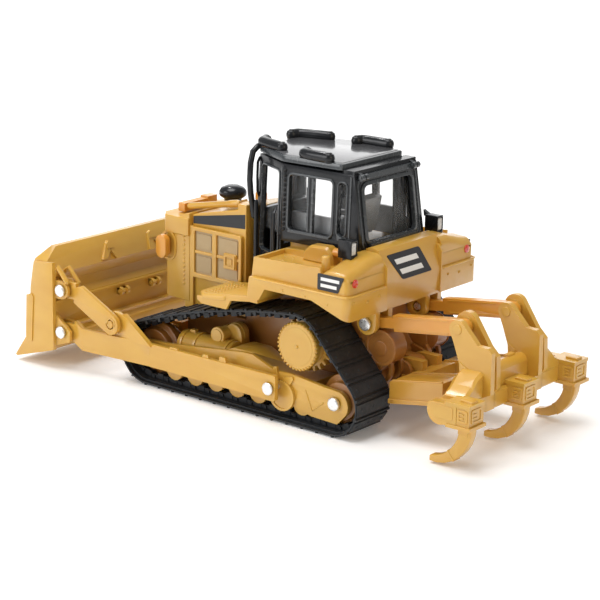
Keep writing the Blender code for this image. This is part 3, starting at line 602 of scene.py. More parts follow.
def belt_path(depth, spacing):
    """Closed (y, z) line this far inside the grouser tips: round the wheels and along a low arch."""
    front, rear = Vector(FRONT_IDLER[:2]), Vector(SPROCKET[:2])
    reach_front, reach_rear = TOP_RUN_RADIUS - FRONT_IDLER[2], TOP_RUN_RADIUS - SPROCKET[2]
    span = (rear - front).length
    ahead = (rear - front) / span
    base = (reach_front**2 - reach_rear**2 + span**2) / (2 * span)
    centre = front + ahead * base + Vector((ahead.y, -ahead.x)) * math.sqrt(reach_front**2 - base**2)
    top_front, top_rear = heading(centre, front), heading(centre, rear)
    lean = math.degrees(math.asin((SPROCKET[2] - REAR_IDLER[2]) / math.dist(SPROCKET[:2], REAR_IDLER[:2])))
    back = heading(REAR_IDLER, SPROCKET) - 90 + lean

    def sweep(middle, radius, first, last):
        steps = max(2, round(abs(math.radians(last - first)) * radius / spacing))
        return arc(middle, radius - depth, first, last, steps)

    path = sweep(FRONT_IDLER, FRONT_IDLER[2], 270, top_front)
    path += sweep(centre, TOP_RUN_RADIUS, top_front, top_rear)[1:]
    path += sweep(SPROCKET, SPROCKET[2], top_rear, back)[1:]
    path += sweep(REAR_IDLER, REAR_IDLER[2], back, -90)
    return path


def evenly(path, count, start=0.0):
    """Points at equal distances round a closed line, each with its direction."""
    closed = [Vector(point) for point in [*path, path[0]]]
    lengths = [0.0]
    for a, b in zip(closed, closed[1:]):
        lengths.append(lengths[-1] + (b - a).length)
    found = []
    segment = 0
    for i in range(count):
        target = lengths[-1] * (i + start) / count
        while lengths[segment + 1] < target:
            segment += 1
        a, b = closed[segment], closed[segment + 1]
        share = (target - lengths[segment]) / (lengths[segment + 1] - lengths[segment])
        found.append((a.lerp(b, share), (b - a).normalized()))
    return found


def belt_bars(shape, stations, span, low_out, high_out, half, tip):
    """Bars across the belt between two heights above a line, one at each station."""
    for point, ahead in stations:
        out = Vector((-ahead.y, ahead.x))
        foot, top = point + out * low_out, point + out * high_out
        bar = [foot - ahead * half, foot + ahead * half, top + ahead * tip, top - ahead * tip]
        shape.prism([tuple(point) for point in bar], "x", *span)


def belt_band(shape, span, outer_depth, inner_depth):
    """Band all round the belt between two depths inside the grouser tips."""
    shape.frame(belt_path(outer_depth, BAND_STEP), belt_path(inner_depth, BAND_STEP), "x", *span)


def add_track(side, way):
    """Moulded belt: shoe band, grousers, raised edge, two chain rails with links and drive lugs."""
    belt = Shape()
    belt_band(belt, across(way, BELT_INNER, BELT_OUTER), GROUSER, GROUSER + 0.28)
    belt_band(belt, across(way, BELT_INNER + 0.9, BELT_OUTER - 0.9), GROUSER + 0.1, GROUSER + SHOE)
    line = belt_path(GROUSER, 0.2)
    shoes = evenly(line, SHOE_COUNT)
    between = evenly(line, SHOE_COUNT, 0.5)
    upper_shoes = [spot for spot in shoes if spot[0].y > TOP_RUN_FLOOR]
    upper_between = [spot for spot in between if spot[0].y > TOP_RUN_FLOOR]
    grouser = across(way, BELT_INNER + 0.05, BELT_OUTER - 0.05)
    belt_bars(belt, shoes, grouser, -SHOE / 2, GROUSER, 0.34, 0.17)
    pad = across(way, BELT_INNER + 0.2, BELT_OUTER - 0.2)
    belt_bars(belt, between, pad, -0.2, 0.16, PAD_HALF, PAD_HALF - 0.08)
    edge = across(way, BELT_OUTER - 1.6, BELT_OUTER - 0.5)
    belt_bars(belt, upper_between, edge, -SHOE - 0.5, -0.1, 0.3, 0.34)
    edge = across(way, BELT_OUTER - 2.0, BELT_OUTER - 0.9)
    belt_bars(belt, upper_shoes, edge, -SHOE - 0.25, -0.1, 0.5, 0.55)
    for low, high in CHAIN_RAILS:
        belt_band(belt, across(way, low, high), GROUSER + SHOE - 0.1, GROUSER + SHOE + 0.75)
        lug = across(way, low - 0.12, high + 0.12)
        belt_bars(belt, between, lug, -SHOE - 1.15, -SHOE + 0.05, 0.72, 0.86)
        belt_bars(belt, shoes, across(way, low - 0.25, high + 0.25), -SHOE - 0.62, -SHOE + 0.05, 0.34, 0.4)
    for point, ahead in between:
        out = Vector((-ahead.y, ahead.x))
        for x in BOLT_ROWS:
            spot = point + out * 0.14
            belt.stud((way * x, spot.x, spot.y), (0, out.x, out.y), 0.34, 0.16, 8)
    belt.piece(f"belt_{side}", "track_rubber", stands_for=[f"track_belt_{side}"], edge=0.06)


# ---- drive sprockets

HUB_FACE = 18.7
BEADS, BEAD_CIRCLE = 36, 4.45


def add_hub(side, way):
    """Beaded ring of bolts and stepped rings on the final-drive cover."""
    hub = Shape()
    centre = SPROCKET[:2]
    face = way * HUB_FACE
    for y, z in circle(centre, BEAD_CIRCLE, BEADS):
        hub.stud((face - way * 0.3, y, z), (way, 0, 0), 0.34, 0.5, 8)
    cover = [(-0.2, 3.75), (0.05, 3.7), (0.1, 1.1)]
    hub.turned("x", centre, [(face + way * out, radius) for out, radius in cover], 48)
    boss = [(0.0, 0.42), (0.3, 0.36), (0.36, 0.2)]
    hub.turned("x", centre, [(face + way * out, radius) for out, radius in boss], 16)
    hub.piece(f"hub_rings_{side}", edge=0.05, body=f"sprocket_{side}")


# ---- engine compartment

DOOR_LOW, DOOR_HIGH = (-35.1, 21.0), (-22.1, 31.4)
DOOR_BACK, DOOR_FACE = 8.6, 9.2
HOOD_WALL = 8.2
GUARD_RIVETS = 12


def add_engine_door(side, way):
    """Door of framed panels with a bar between them and a square latch."""
    door = Shape()
    opening = rounded((-34.4, 21.9), (-22.8, 30.6), 0.4)
    door.frame(rounded(DOOR_LOW, DOOR_HIGH, 0.5), opening, "x", *across(way, DOOR_BACK, DOOR_FACE))
    door.plate(rectangle((-29.7, 21.6), (-28.6, 30.9)), way, DOOR_BACK, DOOR_FACE)
    door.plate(rectangle((-34.7, 25.95), (-22.5, 26.6)), way, DOOR_BACK, 9.05)
    door.piece(f"door_frame_{side}", stands_for=[f"engine_door_{side}"], edge=0.14)
    panels = Shape()
    for y0, y1 in ((-34.5, -29.6), (-28.7, -22.7)):
        for z0, z1 in ((21.8, 26.1), (26.5, 30.7)):
            panels.plate(rectangle((y0, z0), (y1, z1)), way, DOOR_BACK, 8.75)
            field = rounded((y0 + 0.55, z0 + 0.55), (y1 - 0.55, z1 - 0.55), 0.25, 3)
            panels.plate(field, way, DOOR_BACK, 8.9)
    # The recessed panels get the painted-shade brown.
    panels.piece(f"door_panels_{side}", "yellow_plastic", PAINTED_SHADE_PANEL, edge=0.1)
    latch = Shape()
    latch.plate(rounded((-26.6, 24.2), (-23.3, 27.4), 0.2, 3), way, DOOR_BACK, 9.25)
    outer = rounded((-26.4, 24.4), (-23.5, 27.2), 0.2, 3)
    inner = rounded((-25.9, 24.9), (-24.0, 26.7), 0.2, 3)
    latch.frame(outer, inner, "x", *across(way, DOOR_FACE, 9.5))
    latch.plate(rounded((-25.6, 25.2), (-24.3, 26.4), 0.15, 3), way, 9.2, 9.42)
    latch.piece(f"door_latch_{side}", edge=0.08)


def add_hood_side(side, way):
    """Plain dark wedge along the top of the hood side, and the riveted strip ahead of the door."""
    stripe = Shape()
    outline = [(-35.4, 31.8), (-21.8, 32.8), (-21.8, 35.7), (-35.4, 33.3)]
    stripe.plate(outline, way, HOOD_WALL, HOOD_WALL + 0.16)
    stripe.piece(f"hood_stripe_{side}", "black_plastic", STRIPE, edge=0.05)
    rivets = Shape()
    rivets.plate(rectangle((-37.2, 14.4), (-35.0, 31.4)), way, 8.0, 8.85)
    low, high = 19.2, 29.0
    for i in range(GUARD_RIVETS):
        z = low + (high - low) * i / (GUARD_RIVETS - 1)
        rivets.stud((way * 8.98, -37.3, z), (way, 0, 0), 0.34, 0.26, 8)
    rivets.piece(f"guard_rivets_{side}", edge=0)


# ---- cab

CAB_SILL, CAB_HEAD = 33.0, 47.8
# Places of the cab's walls, at the sill and at the head: the side wall meets the door at the kink.
KINK_X, KINK_Y = (10.9, 10.4), -10.5
REAR_X, REAR_Y = (10.2, 9.8), (7.9, 5.8)
FRONT_X, FRONT_Y = (6.2, 5.9), (-20.8, -20.2)
ROOF_PLAN = [(6.0, -20.4), (10.5, -10.7), (9.5, 2.8), (-9.5, 2.8), (-10.5, -10.7), (-6.0, -20.4)]
POD_TOP = 51.2
KINK_RIVETS = 13
LIGHT_BARS = {
    "rear": [(9.3, -0.6), (9.3, -6.0), (8.9, -6.9), (7.8, -7.2)],
    "front": [(7.4, -13.5), (5.8, -19.4), (5.2, -20.1), (3.9, -20.4)],
}
LIGHT_BAR_RADIUS = 1.1


def add_roof():
    """Roof plate with a raised panel and four light bars, each on two feet."""
    plate = ((48.1, 0.4), (48.25, 0.0), (49.15, 0.0), (49.35, 0.12), (49.45, 0.4))
    panel = ((49.3, 0.55), (49.52, 0.6), (49.62, 0.9))
    # The raised panel gets the grey with the painted reflection.
    roofs = (("roof_plate", CAB_GREY, ["cab_roof"], plate), ("roof_panel", ROOF_PAINTED_REFLECTION, [], panel))
    for name, look, stands_for, layers in roofs:
        roof = Shape()
        roof.loft([placed(softened(inset(ROOF_PLAN, shrink), 0.7), "z", z) for z, shrink in layers])
        roof.piece(name, "black_plastic", look, stands_for, edge=0)
    for place, plan in LIGHT_BARS.items():
        for side, way in SIDES.items():
            bar = Shape()
            middle = POD_TOP - LIGHT_BAR_RADIUS
            bar.tube([(way * x, y, middle) for x, y in softened_line(plan)], LIGHT_BAR_RADIUS, 16)
            for x, y in (plan[0], plan[-1]):
                bar.disc("z", (way * x, y), 0.95, 49.3, POD_TOP - 0.25, 20, crown=0.3)
                bar.disc("z", (way * x, y), 0.55, 50.6, POD_TOP, 18, crown=0.2)
            bar.piece(f"light_bar_{place}_{side}", "black_plastic", BLACK, edge=0.08)


def at_height(ends, z):
    """Value at a height, from a wall's value at the sill and its value at the head."""
    low, high = ends
    return low + (high - low) * (z - CAB_SILL) / (CAB_HEAD - CAB_SILL)


def on_rear(outline, out):
    """(x, z) outline laid on the cab's leaning rear wall, standing out by this much."""
    return [Vector((x, at_height(REAR_Y, z) + out, z)) for x, z in outline]


def on_side(outline, out, way):
    """(y, z) outline laid on the cab's side wall."""
    points = []
    for y, z in outline:
        kink, rear = at_height(KINK_X, z), at_height(REAR_X, z)
        x = kink + (rear - kink) * (y - KINK_Y) / (at_height(REAR_Y, z) - KINK_Y)
        points.append(Vector((way * (x + out), y, z)))
    return points


def on_door(outline, out, way):
    """(distance forward of the kink, z) outline laid on the cab's door wall."""
    points = []
    for along, z in outline:
        start = Vector((at_height(KINK_X, z), KINK_Y))
        end = Vector((at_height(FRONT_X, z), at_height(FRONT_Y, z)))
        ahead = (end - start).normalized()
        place = start + ahead * along + Vector((-ahead.y, ahead.x)) * out
        points.append(Vector((way * place.x, place.y, z)))
    return points


def wall_ring(shape, lay, low, high, width, radius, stand, *where):
    """Rounded window surround that stands proud of a wall and turns in towards the glass."""
    inner = rounded(low, high, radius)
    outer = rounded((low[0] - width, low[1] - width), (high[0] + width, high[1] + width), radius + width)
    rings = [(outer, -0.1), (outer, stand * 0.6), (inset(outer, width * 0.3), stand), (inner, stand)]
    rings += [(inner, -0.6)]
    shape.loft([lay(outline, out, *where) for outline, out in rings], closed=True)


def wall_bar(shape, lay, low, high, stand, *where):
    outline = rectangle(low, high)
    shape.loft([lay(outline, -0.6, *where), lay(outline, stand, *where)])


def add_cab_rear():
    """Window surround, wiper rail, gutter and two hinges on the rear wall."""
    rear = Shape()
    wall_ring(rear, on_rear, (-7.5, 35.0), (7.5, 45.5), 0.75, 1.1, 0.3)
    wall_ring(rear, on_rear, (-8.9, 33.7), (8.9, 46.6), 0.35, 1.2, 0.12)
    wall_bar(rear, on_rear, (-7.4, 34.2), (7.4, 34.75), 0.75)
    wall_bar(rear, on_rear, (-8.6, 46.75), (8.6, 47.7), 0.55)
    for x in (8.1, -8.1):
        for shift in (-0.55, 0.55):
            rear.disc("x", (6.75, 47.3), 0.62, x + shift - 0.4, x + shift + 0.4, 14)
        rear.disc("x", (6.75, 47.3), 0.3, x - 1.15, x + 1.15, 10)
        rear.prism([(5.6, 46.6), (7.0, 46.7), (7.1, 47.4), (5.6, 48.2)], "x", x - 0.35, x + 0.35)
    rear.piece("rear_window_trim", "black_plastic", CAB_GREY, edge=0.06)


def add_cab_side(side, way):
    """Window surrounds and bars of one side, its row of rivets, and the pipes and rails outside."""
    trim = Shape()
    wall_ring(trim, on_side, (-9.05, 35.45), (1.05, 46.05), 0.45, 0.8, 0.22, way)
    wall_ring(trim, on_side, (2.35, 35.95), (4.25, 46.05), 0.3, 0.75, 0.16, way)
    wall_bar(trim, on_side, (-4.75, 35.6), (-4.3, 45.9), 0.12, way)
    wall_bar(trim, on_side, (-3.75, 35.6), (-3.3, 45.9), 0.2, way)
    wall_bar(trim, on_side, (-8.8, 34.95), (0.8, 35.35), 0.5, way)
    wall_bar(trim, on_side, (5.0, 33.4), (5.35, 47.4), 0.15, way)
    wall_ring(trim, on_door, (1.7, 29.6), (9.1, 46.1), 0.4, 0.8, 0.2, way)
    wall_bar(trim, on_door, (0.55, 34.0), (0.8, 47.2), 0.1, way)
    trim.piece(f"side_trim_{side}", "black_plastic", CAB_GREY, edge=0.05)
    rails = Shape()
    for i in range(KINK_RIVETS):
        spot = on_side([(-10.15, 35.2 + 11.4 * i / (KINK_RIVETS - 1))], 0.0, way)[0]
        rails.stud(spot, (way, -0.15, 0), 0.32, 0.34, 8)
    outer_rail = [(4.4, -20.4, 49.3), (6.2, -20.6, 49.2), (7.5, -20.7, 48.3), (8.3, -20.6, 46.2)]
    outer_rail += [(8.5, -20.6, 43.0), (8.2, -20.6, 40.2), (7.6, -20.6, 37.6), (7.4, -20.4, 35.6)]
    rails.tube(mirrored(outer_rail, way), 0.6, 12)
    loop = [(6.0, 47.0), (6.6, 46.2), (6.7, 43.5), (6.6, 40.4), (6.0, 39.2)]
    rails.tube([(way * x, -20.2, z) for x, z in loop], 0.26, 8)
    rails.tube([(way * 7.7, -19.6, z) for z in (38.6, 34.0, 29.0, 25.2)], 0.42, 10)
    rails.tube([(way * 9.6, -14.0, z) for z in (37.4, 33.0, 28.8, 25.0)], 0.3, 10)
    grip = [(9.9, -12.9, 38.4), (10.6, -12.7, 37.9), (10.7, -12.7, 34.0)]
    grip += [(10.6, -12.7, 30.6), (9.8, -12.9, 30.0)]
    rails.tube(mirrored(grip, way), 0.3, 10)
    rails.piece(f"hand_rails_{side}", "black_plastic", BLACK, edge=0)


def add_cab_inside():
    """Low side walls and the curved housing with two upright tubes behind the rear window."""
    inside = Shape()
    for way in SIDES.values():
        inside.plate(rounded((-10.5, 33.0), (4.0, 38.4), 0.8), way, 7.6, 8.3)
    # The walls get the grey with painted haze.
    inside.piece("cab_inner_walls", "black_plastic", SEAT_PAINTED_HAZE, edge=0.1)
    housing = Shape()
    rings = []
    levels = ((33.2, -6.4, 1.6), (37.0, -5.8, 1.4), (41.0, -5.0, 1.2), (44.6, -4.6, 1.0), (46.2, -4.4, 0.9))
    far, back = -8.4, 4.9
    for z, near, depth in levels:
        front = back - depth
        plan = [(near, front), (near, back), (near - 1.2, back + 0.2), (far, back), (far, front)]
        rings.append(placed(softened(plan, 0.4), "z", z))
    housing.loft(rings)
    for x, y in ((-4.9, 4.6), (-6.6, 4.9)):
        housing.tube([(x, y, 34.0), (x, y, 44.0), (x - 0.3, y - 0.5, 45.6)], 0.5, 12)
    housing.piece("cab_housing", "black_plastic", BLACK, edge=0.1)


def add_work_lamp(side, way):
    """Ribbed lens, and the bracket above and below the lamp."""
    glass = Shape()
    span = across(way, 13.0, 14.4)
    low, high = (span[0] + 0.02, 33.85), (span[1] - 0.02, 36.25)
    outline = rounded(low, high, 0.3, 3)
    layers = ((outline, 8.75), (outline, 9.0), (inset(outline, 0.15), 9.14))
    glass.loft([placed(layer, "y", y) for layer, y in layers])
    for z in (34.4, 34.9, 35.4, 35.9):
        glass.prism(rectangle((low[0] + 0.2, z), (high[0] - 0.2, z + 0.22)), "y", 9.0, 9.2)
    glass.piece(f"work_lens_{side}", "clear_plastic", WHITE_LENS, edge=0.04)
    hood = Shape()
    hood.plate([(5.4, 36.2), (6.5, 36.1), (6.5, 36.7), (5.2, 37.4)], way, 13.4, 14.2)
    hood.plate([(6.8, 31.6), (8.2, 31.6), (8.2, 33.5), (6.8, 33.5)], way, 13.2, 14.2)
    hood.piece(f"work_lamp_bracket_{side}", "black_plastic", CAB_GREY, edge=0.06)


# ---- carved parts


def carve(node, cutters, name, body, edge):
    """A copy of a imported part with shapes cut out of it, which stands for that part."""
    source = frame["nodes"][node]
    made = bpy.data.objects.new(name, source.data.copy())
    scene.collection.objects.link(made)
    tools = []
    for cutter in cutters:
        for vert in cutter.mesh.verts:
            vert.co = metres(vert.co)
        tool_mesh = bpy.data.meshes.new("tool")
        cutter.mesh.to_mesh(tool_mesh)
        cutter.mesh.free()
        tool = bpy.data.objects.new("tool", tool_mesh)
        scene.collection.objects.link(tool)
        tools.append(tool)
        cut = made.modifiers.new("cut", "BOOLEAN")
        cut.operation = "DIFFERENCE"
        cut.solver = "EXACT"
        cut.object = tool
    shaped = bpy.data.meshes.new_from_object(made.evaluated_get(bpy.context.evaluated_depsgraph_get()))
    made.modifiers.clear()
    made.data = shaped
    for tool in tools:
        bpy.data.objects.remove(tool)
    ease_edges(made, edge)
    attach(made, body)
    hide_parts(node)


# ---- fenders and rear panel

RIDGE = 27.85
PANEL_WALL, LOWER_WALL = 20.25, 20.9
REAR_PANEL, LOWER_REAR = 12.7, 13.3
TRAY_FLOOR = 30.9
FLECKS = 26
# Cutters end out here, clear of the body.
PAST_SIDE, PAST_REAR, PAST_TOP = 21.6, 14.5, 34.0
PANEL_FOOT, PANEL_LEAN = (13.0, 27.7), 1.5 / 6.6


def corner_cutter(way, x, y, radius, low, high):
    """Leaves a round corner where a side wall at x meets the rear wall at y."""
    inner = arc((x - radius, y - radius), radius, 0, 90, 8)
    outline = [(x + 1.0, y + 1.0), (x + 1.0, y - radius), *inner, (x - radius, y + 1.0)]
    return Shape().prism([(way * a, b) for a, b in outline], "z", low, high)


def add_rear_body():
    """Body whose panels above the ridge step in, with round corners and open trays in the fenders."""
    cuts = []
    for way in SIDES.values():
        front = rectangle((-12.0, RIDGE), (5.9, PAST_TOP))
        rear = rectangle((5.8, RIDGE), (PAST_REAR, PAST_TOP))
        low, high = across(way, 8.95, 22.0)
        behind = rectangle((low, RIDGE), (high, PAST_TOP))
        block, tray = across(way, 9.35, PAST_SIDE), across(way, 11.2, 19.8)
        cuts += [
            Shape().plate(front, way, PANEL_WALL - 0.15, PAST_SIDE),
            Shape().plate(rear, way, PANEL_WALL, PAST_SIDE),
            Shape().prism(behind, "y", REAR_PANEL, PAST_REAR),
            corner_cutter(way, PANEL_WALL, REAR_PANEL, 1.0, RIDGE, PAST_TOP),
            corner_cutter(way, LOWER_WALL, LOWER_REAR, 1.5, 21.0, RIDGE),
            Shape().block((block[0], 6.5, 30.6), (block[1], PAST_REAR, PAST_TOP + 1.0)),
            Shape().block((tray[0], -8.9, TRAY_FLOOR), (tray[1], 6.7, PAST_TOP + 1.0)),
        ]
    carve("rear_body", cuts, "rear_shell", "machine", 0.15)


def add_fender_details(side, way):
    """Domed rear block, mound, cap, rivets, flecks in the tray, tread on the step, and two rims."""
    bumps = Shape()
    rings = []
    stations = ((9.3, 34.0, 0.0), (12.0, 33.9, 0.0), (14.5, 33.2, 0.0), (17.0, 32.5, 0.0))
    stations += ((19.25, 32.1, 0.0), (19.65, 32.0, 0.08), (20.0, 31.9, 0.35), (PANEL_WALL, 31.75, 1.0))
    for x, top, back in stations:
        crest = [(6.6, 30.5), (6.7, top - 1.0), (7.3, top - 0.35), (8.4, top)]
        crest += arc((REAR_PANEL - back - 1.9, top - 2.0), 1.9, 90, 0, 7)
        outline = [*crest, (REAR_PANEL - back, 30.5)]
        rings.append(placed(outline, "x", way * x))
    bumps.loft(rings)
    mound = [(-3.6, 30.7), (-3.2, 32.6), (-1.6, 34.0), (2.4, 34.2), (3.6, 33.0), (3.9, 30.7)]
    bumps.loft([
        placed(softened(mound, 0.4, 2), "x", way * 11.05),
        placed(softened(mound, 0.4, 2), "x", way * 12.9),
        placed(softened(inset(mound[::-1], 0.4), 0.4, 2)[::-1], "x", way * 13.4),
    ])
    bumps.plate([(-8.9, 30.7), (-4.0, 30.7), (-4.0, 32.2), (-8.6, 31.9)], way, 11.0, 11.9)
    bumps.disc("z", (way * 17.6, 5.7), 0.85, 30.8, 34.0, 20, crown=0.35)
    for x, z in ((11.0, 26.3), (14.8, 26.0), (18.9, 26.6)):
        bumps.stud((way * x, 13.28, z), (0, 1, 0), 0.3, 0.25, 8)
    for y, z in ((8.6, 25.8), (-2.0, 26.6), (3.4, 26.5)):
        bumps.stud((way * 20.88, y, z), (way, 0, 0), 0.3, 0.22, 8)
    for _ in range(FLECKS):
        x, y = random.uniform(12.2, 19.4), random.uniform(-8.3, -3.0)
        bumps.stud((way * x, y, TRAY_FLOOR), (0, 0, 1), random.uniform(0.14, 0.26), 0.12, 6)
    for row in range(4):
        for column in range(9):
            x, y = 12.0 + column * 0.95 + 0.4 * (row % 2), -21.9 + row * 1.1
            slope = 22.25 + (y + 23.4) * 0.13
            bumps.stud((way * x, y, slope), (0, 0, 1), 0.24, 0.14, 6)
    rim = [(9.9, -23.5, 21.55), (18.7, -23.5, 21.55), (20.1, -21.9, 21.75), (20.25, -16.6, 22.35)]
    bumps.tube(mirrored(rim, way), 0.72, 12)
    edge = [(LOWER_WALL - 0.08, -8.2), (LOWER_WALL - 0.08, 11.9), (LOWER_WALL - 0.42, 12.8)]
    edge += [(LOWER_WALL - 1.3, 13.2), (9.5, 13.2)]
    bumps.tube([(way * x, y, RIDGE - 0.1) for x, y in edge], 0.24, 10)
    bumps.piece(f"fender_bumps_{side}", edge=0.14)
    cap = Shape()
    cap.disc("y", (way * 12.4, 33.4), 0.78, 3.6, 5.2, 18, crown=0.25)
    # The cap gets the painted-shade orange through its slot.
    cap.piece(f"fender_caps_{side}", "orange_plastic", edge=0.1)


def add_tail_lens(side, way):
    """Stepped red lens with a small boss in its middle."""
    glass = Shape()
    place = (way * 17.9, 29.95)
    rise = ((-0.1, 0.8), (0.16, 0.8), (0.28, 0.5))
    glass.turned("y", place, [(REAR_PANEL + out, radius) for out, radius in rise], 24)
    glass.disc("y", place, 0.22, REAR_PANEL + 0.2, REAR_PANEL + 0.34, 12)
    glass.piece(f"tail_lens_{side}", "red_lens", stands_for=[f"tail_lamp_{side}"], edge=0.04)


def on_panel(outline, out):
    """(x, z) outline laid on the leaning rear panel, standing out by this much."""
    y, foot = PANEL_FOOT
    return [Vector((x, y - (z - foot) * PANEL_LEAN + out, z)) for x, z in outline]


def add_rear_plate():
    """Plain dark plate with two white bars, on the rear panel."""
    plate, bars = Shape(), Shape()
    outline = softened([(7.3, 33.1), (-3.0, 33.1), (-6.0, 28.0), (3.4, 28.0)], 0.5)
    plate.loft([on_panel(outline, -0.1), on_panel(outline, 0.1)])
    plate.piece("rear_plate", "black_plastic", PLATE, edge=0.03)
    for z, low, high in ((31.0, -2.4, 4.6), (29.0, -3.5, 3.4)):
        bar = [(high + 0.6, z + 1.0), (low + 0.6, z + 1.0), (low, z), (high, z)]
        bars.loft([on_panel(bar, 0.0), on_panel(bar, 0.16)])
    bars.piece("rear_plate_bars", "yellow_plastic", WHITE, edge=0.03)


def add_fender_plate(side, way):
    """Smaller plate of the same kind, on the fender's side."""
    plate, bars = Shape(), Shape()
    outline = softened([(5.9, 31.3), (12.0, 31.3), (10.7, 28.2), (5.9, 28.2)], 0.3)
    plate.plate(outline, way, PANEL_WALL - 0.1, PANEL_WALL + 0.1)
    plate.piece(f"fender_plate_{side}", "black_plastic", PLATE, edge=0.03)
    for z, end in ((30.05, 11.0), (28.85, 10.4)):
        bars.plate(rectangle((6.7, z), (end, z + 0.62)), way, PANEL_WALL, PANEL_WALL + 0.16)
    bars.piece(f"fender_plate_bars_{side}", "yellow_plastic", WHITE, edge=0.03)


# ---- blade and push arms

BLADE_FOOT, BLADE_LEAN = (-59.6, 19.8), 0.571
BRACE_EYE = (-44.4, 12.3)
KNOB = (-58.5, 12.9)


def on_blade(outline, out):
    """(x, z) outline laid on the leaning upper back of the blade, standing out by this much."""
    y, foot = BLADE_FOOT
    return [Vector((x, y - (z - foot) * BLADE_LEAN + out, z)) for x, z in outline]


def add_blade_details():
    """Inverted-V lugs, hinge knobs, forked ears at the struts and strips on the end plates."""
    detail = Shape()
    for way in SIDES.values():
        for foot, lean in ((9.6, 20.3), (4.4, 19.9)):
            out = 1.2 if foot > 7 else -1.2
            bar = [(foot, lean), (foot - out * 1.1, lean), (6.4 - out * 0.2, 22.0), (6.4 + out * 0.7, 23.0)]
            bar = [(way * x, z) for x, z in bar]
            detail.loft([on_blade(bar, -0.3), on_blade(bar, 0.55)])
        cap = [(5.4, 22.1), (5.6, 23.1), (6.4, 23.5), (7.2, 23.1), (7.4, 22.1)]
        cap = [(way * x, z) for x, z in cap]
        detail.loft([on_blade(cap, -0.3), on_blade(cap, 0.75)])
        strip = [(-66.6, 5.0), (-64.9, 5.0), (-64.3, 14.6), (-64.9, 15.2), (-65.6, 14.9)]
        detail.plate(strip, way, 24.6, 25.12)
        detail.tube([(way * 23.65, y, z) for y, z in ((-59.3, 20.0), (-58.3, 21.6), (-55.9, 18.9))], 0.55)
        detail.tube([(way * 21.0, y, z) for y, z in ((-59.1, 20.2), (-57.9, 21.2), (-55.2, 18.3))], 0.5)
        rim = [(-60.6, 14.9), (-58.9, 14.3), (-58.9, 13.8), (-60.6, 13.8)]
        detail.plate(rim, way, 0.0, 23.8)
    for x in (4.5, -5.1):
        for shift in (-0.9, 0.9):
            detail.disc("x", KNOB, 0.85, x + shift - 0.35, x + shift + 0.35, 20)
            detail.block((x + shift - 0.35, -59.6, 12.1), (x + shift + 0.35, -58.5, 13.75))
        detail.disc("x", KNOB, 0.4, x - 1.5, x + 1.5, 16)
    detail.piece("blade_details", edge=0.1, body="blade")
    strut = Shape()
    lugs = (
        [(-21.9, 9.4), (-21.7, 10.1), (-20.4, 10.1), (-20.2, 9.4)],
        [(-17.6, 9.4), (-17.4, 10.5), (-16.0, 10.5), (-15.8, 9.9), (-15.8, 9.4)],
        [(-30.6, 9.3), (-30.4, 9.8), (-28.4, 9.8), (-28.2, 9.3)],
    )
    for way in SIDES.values():
        for lug in lugs:
            strut.plate(lug, way, 20.2, 20.8)
        rim = arc(BRACE_EYE, 1.15, -30, 200, 14) + arc(BRACE_EYE, 0.85, 200, -30, 14)
        strut.plate(rim, way, 22.8, 23.02)
    strut.piece("arm_details", edge=0.06, body="blade")


def trunnion_outline(radius):
    return arc((-41.4, 27.5), radius, 0, 180, 10) + arc((-41.4, 25.4), radius, 180, 360, 10)


def add_front_frame():
    """Bright cross box ahead of the belly pan, and the rims of the lift trunnions."""
    box = Shape()
    profile = [(-45.6, 4.6), (-44.9, 3.6), (-38.4, 3.6), (-38.4, 10.6), (-44.6, 10.6), (-45.6, 9.4)]
    box.prism(profile, "x", -8.4, 8.4)
    for way in SIDES.values():
        box.plate(rounded((-45.0, 4.6), (-39.2, 9.9), 0.6, 3), way, 8.3, 8.75)
    # The box gets the painted-shade orange through its slot.
    box.piece("front_frame_box", "orange_plastic", edge=0.15)
    bumpers = Shape()
    for way in SIDES.values():
        bumpers.frame(trunnion_outline(2.05), trunnion_outline(1.55), "x", *across(way, 8.6, 9.2))
    bumpers.piece("trunnion_rims", edge=0.06)


# ---- track frames

FRAME_PIVOT = (-3.4, 5.2)
RIB_RADIUS = 0.17
CARRIER = (-22.7, 12.5)


def add_frame_details(side, way):
    """Stiffening ribs, rings and small brackets cast on the outside of the roller frame."""
    cast = Shape()

    def rib(points, x):
        cast.tube([(way * x, y, z) for y, z in points], RIB_RADIUS, 8)

    rib([(2.0, 7.3), (3.6, 3.6), (6.2, 5.8)], 18.3)
    rib([(-13.7, 8.8), (-12.2, 11.0), (-9.4, 9.4)], 17.3)
    disc = circle(FRAME_PIVOT, 3.0)
    cast.plate(disc, way, 18.0, 18.75)
    cast.frame(disc, circle(FRAME_PIVOT, 2.5), "x", *across(way, 18.6, 18.95))
    cast.plate([(-6.2, 8.4), (-5.6, 10.5), (-4.9, 10.6), (-4.4, 8.2)], way, 18.1, 18.7)
    cast.plate([(-3.6, 7.8), (-3.2, 8.9), (-1.0, 9.4), (-0.8, 8.8), (-1.6, 7.6)], way, 18.1, 18.7)
    for y in (-31.2, -27.8, -20.0):
        cast.turned("y", (way * 14.4, 9.1), [(y, 2.88), (y + 0.5, 2.88)], 28)
    cast.plate([(-30.6, 10.6), (-30.2, 12.2), (-29.0, 12.2), (-28.6, 10.6)], way, 13.9, 14.9)
    cast.disc("x", CARRIER, 1.72, way * 14.7, way * 15.45, 28, crown=0.15)
    cast.disc("x", CARRIER, 1.25, way * 15.3, way * 15.65, 24)
    cast.plate(circle((-20.6, 12.6), 2.25), way, 11.4, 12.2)
    cast.piece(f"frame_castings_{side}", edge=0.08)


# ---- ripper

SHANK_PLACES = (17.5, 0.0, -17.5)
POCKET_REAR = 40.0
LOW_EYE, TALL_EYE = (30.5, 23.2), (29.9, 23.4)


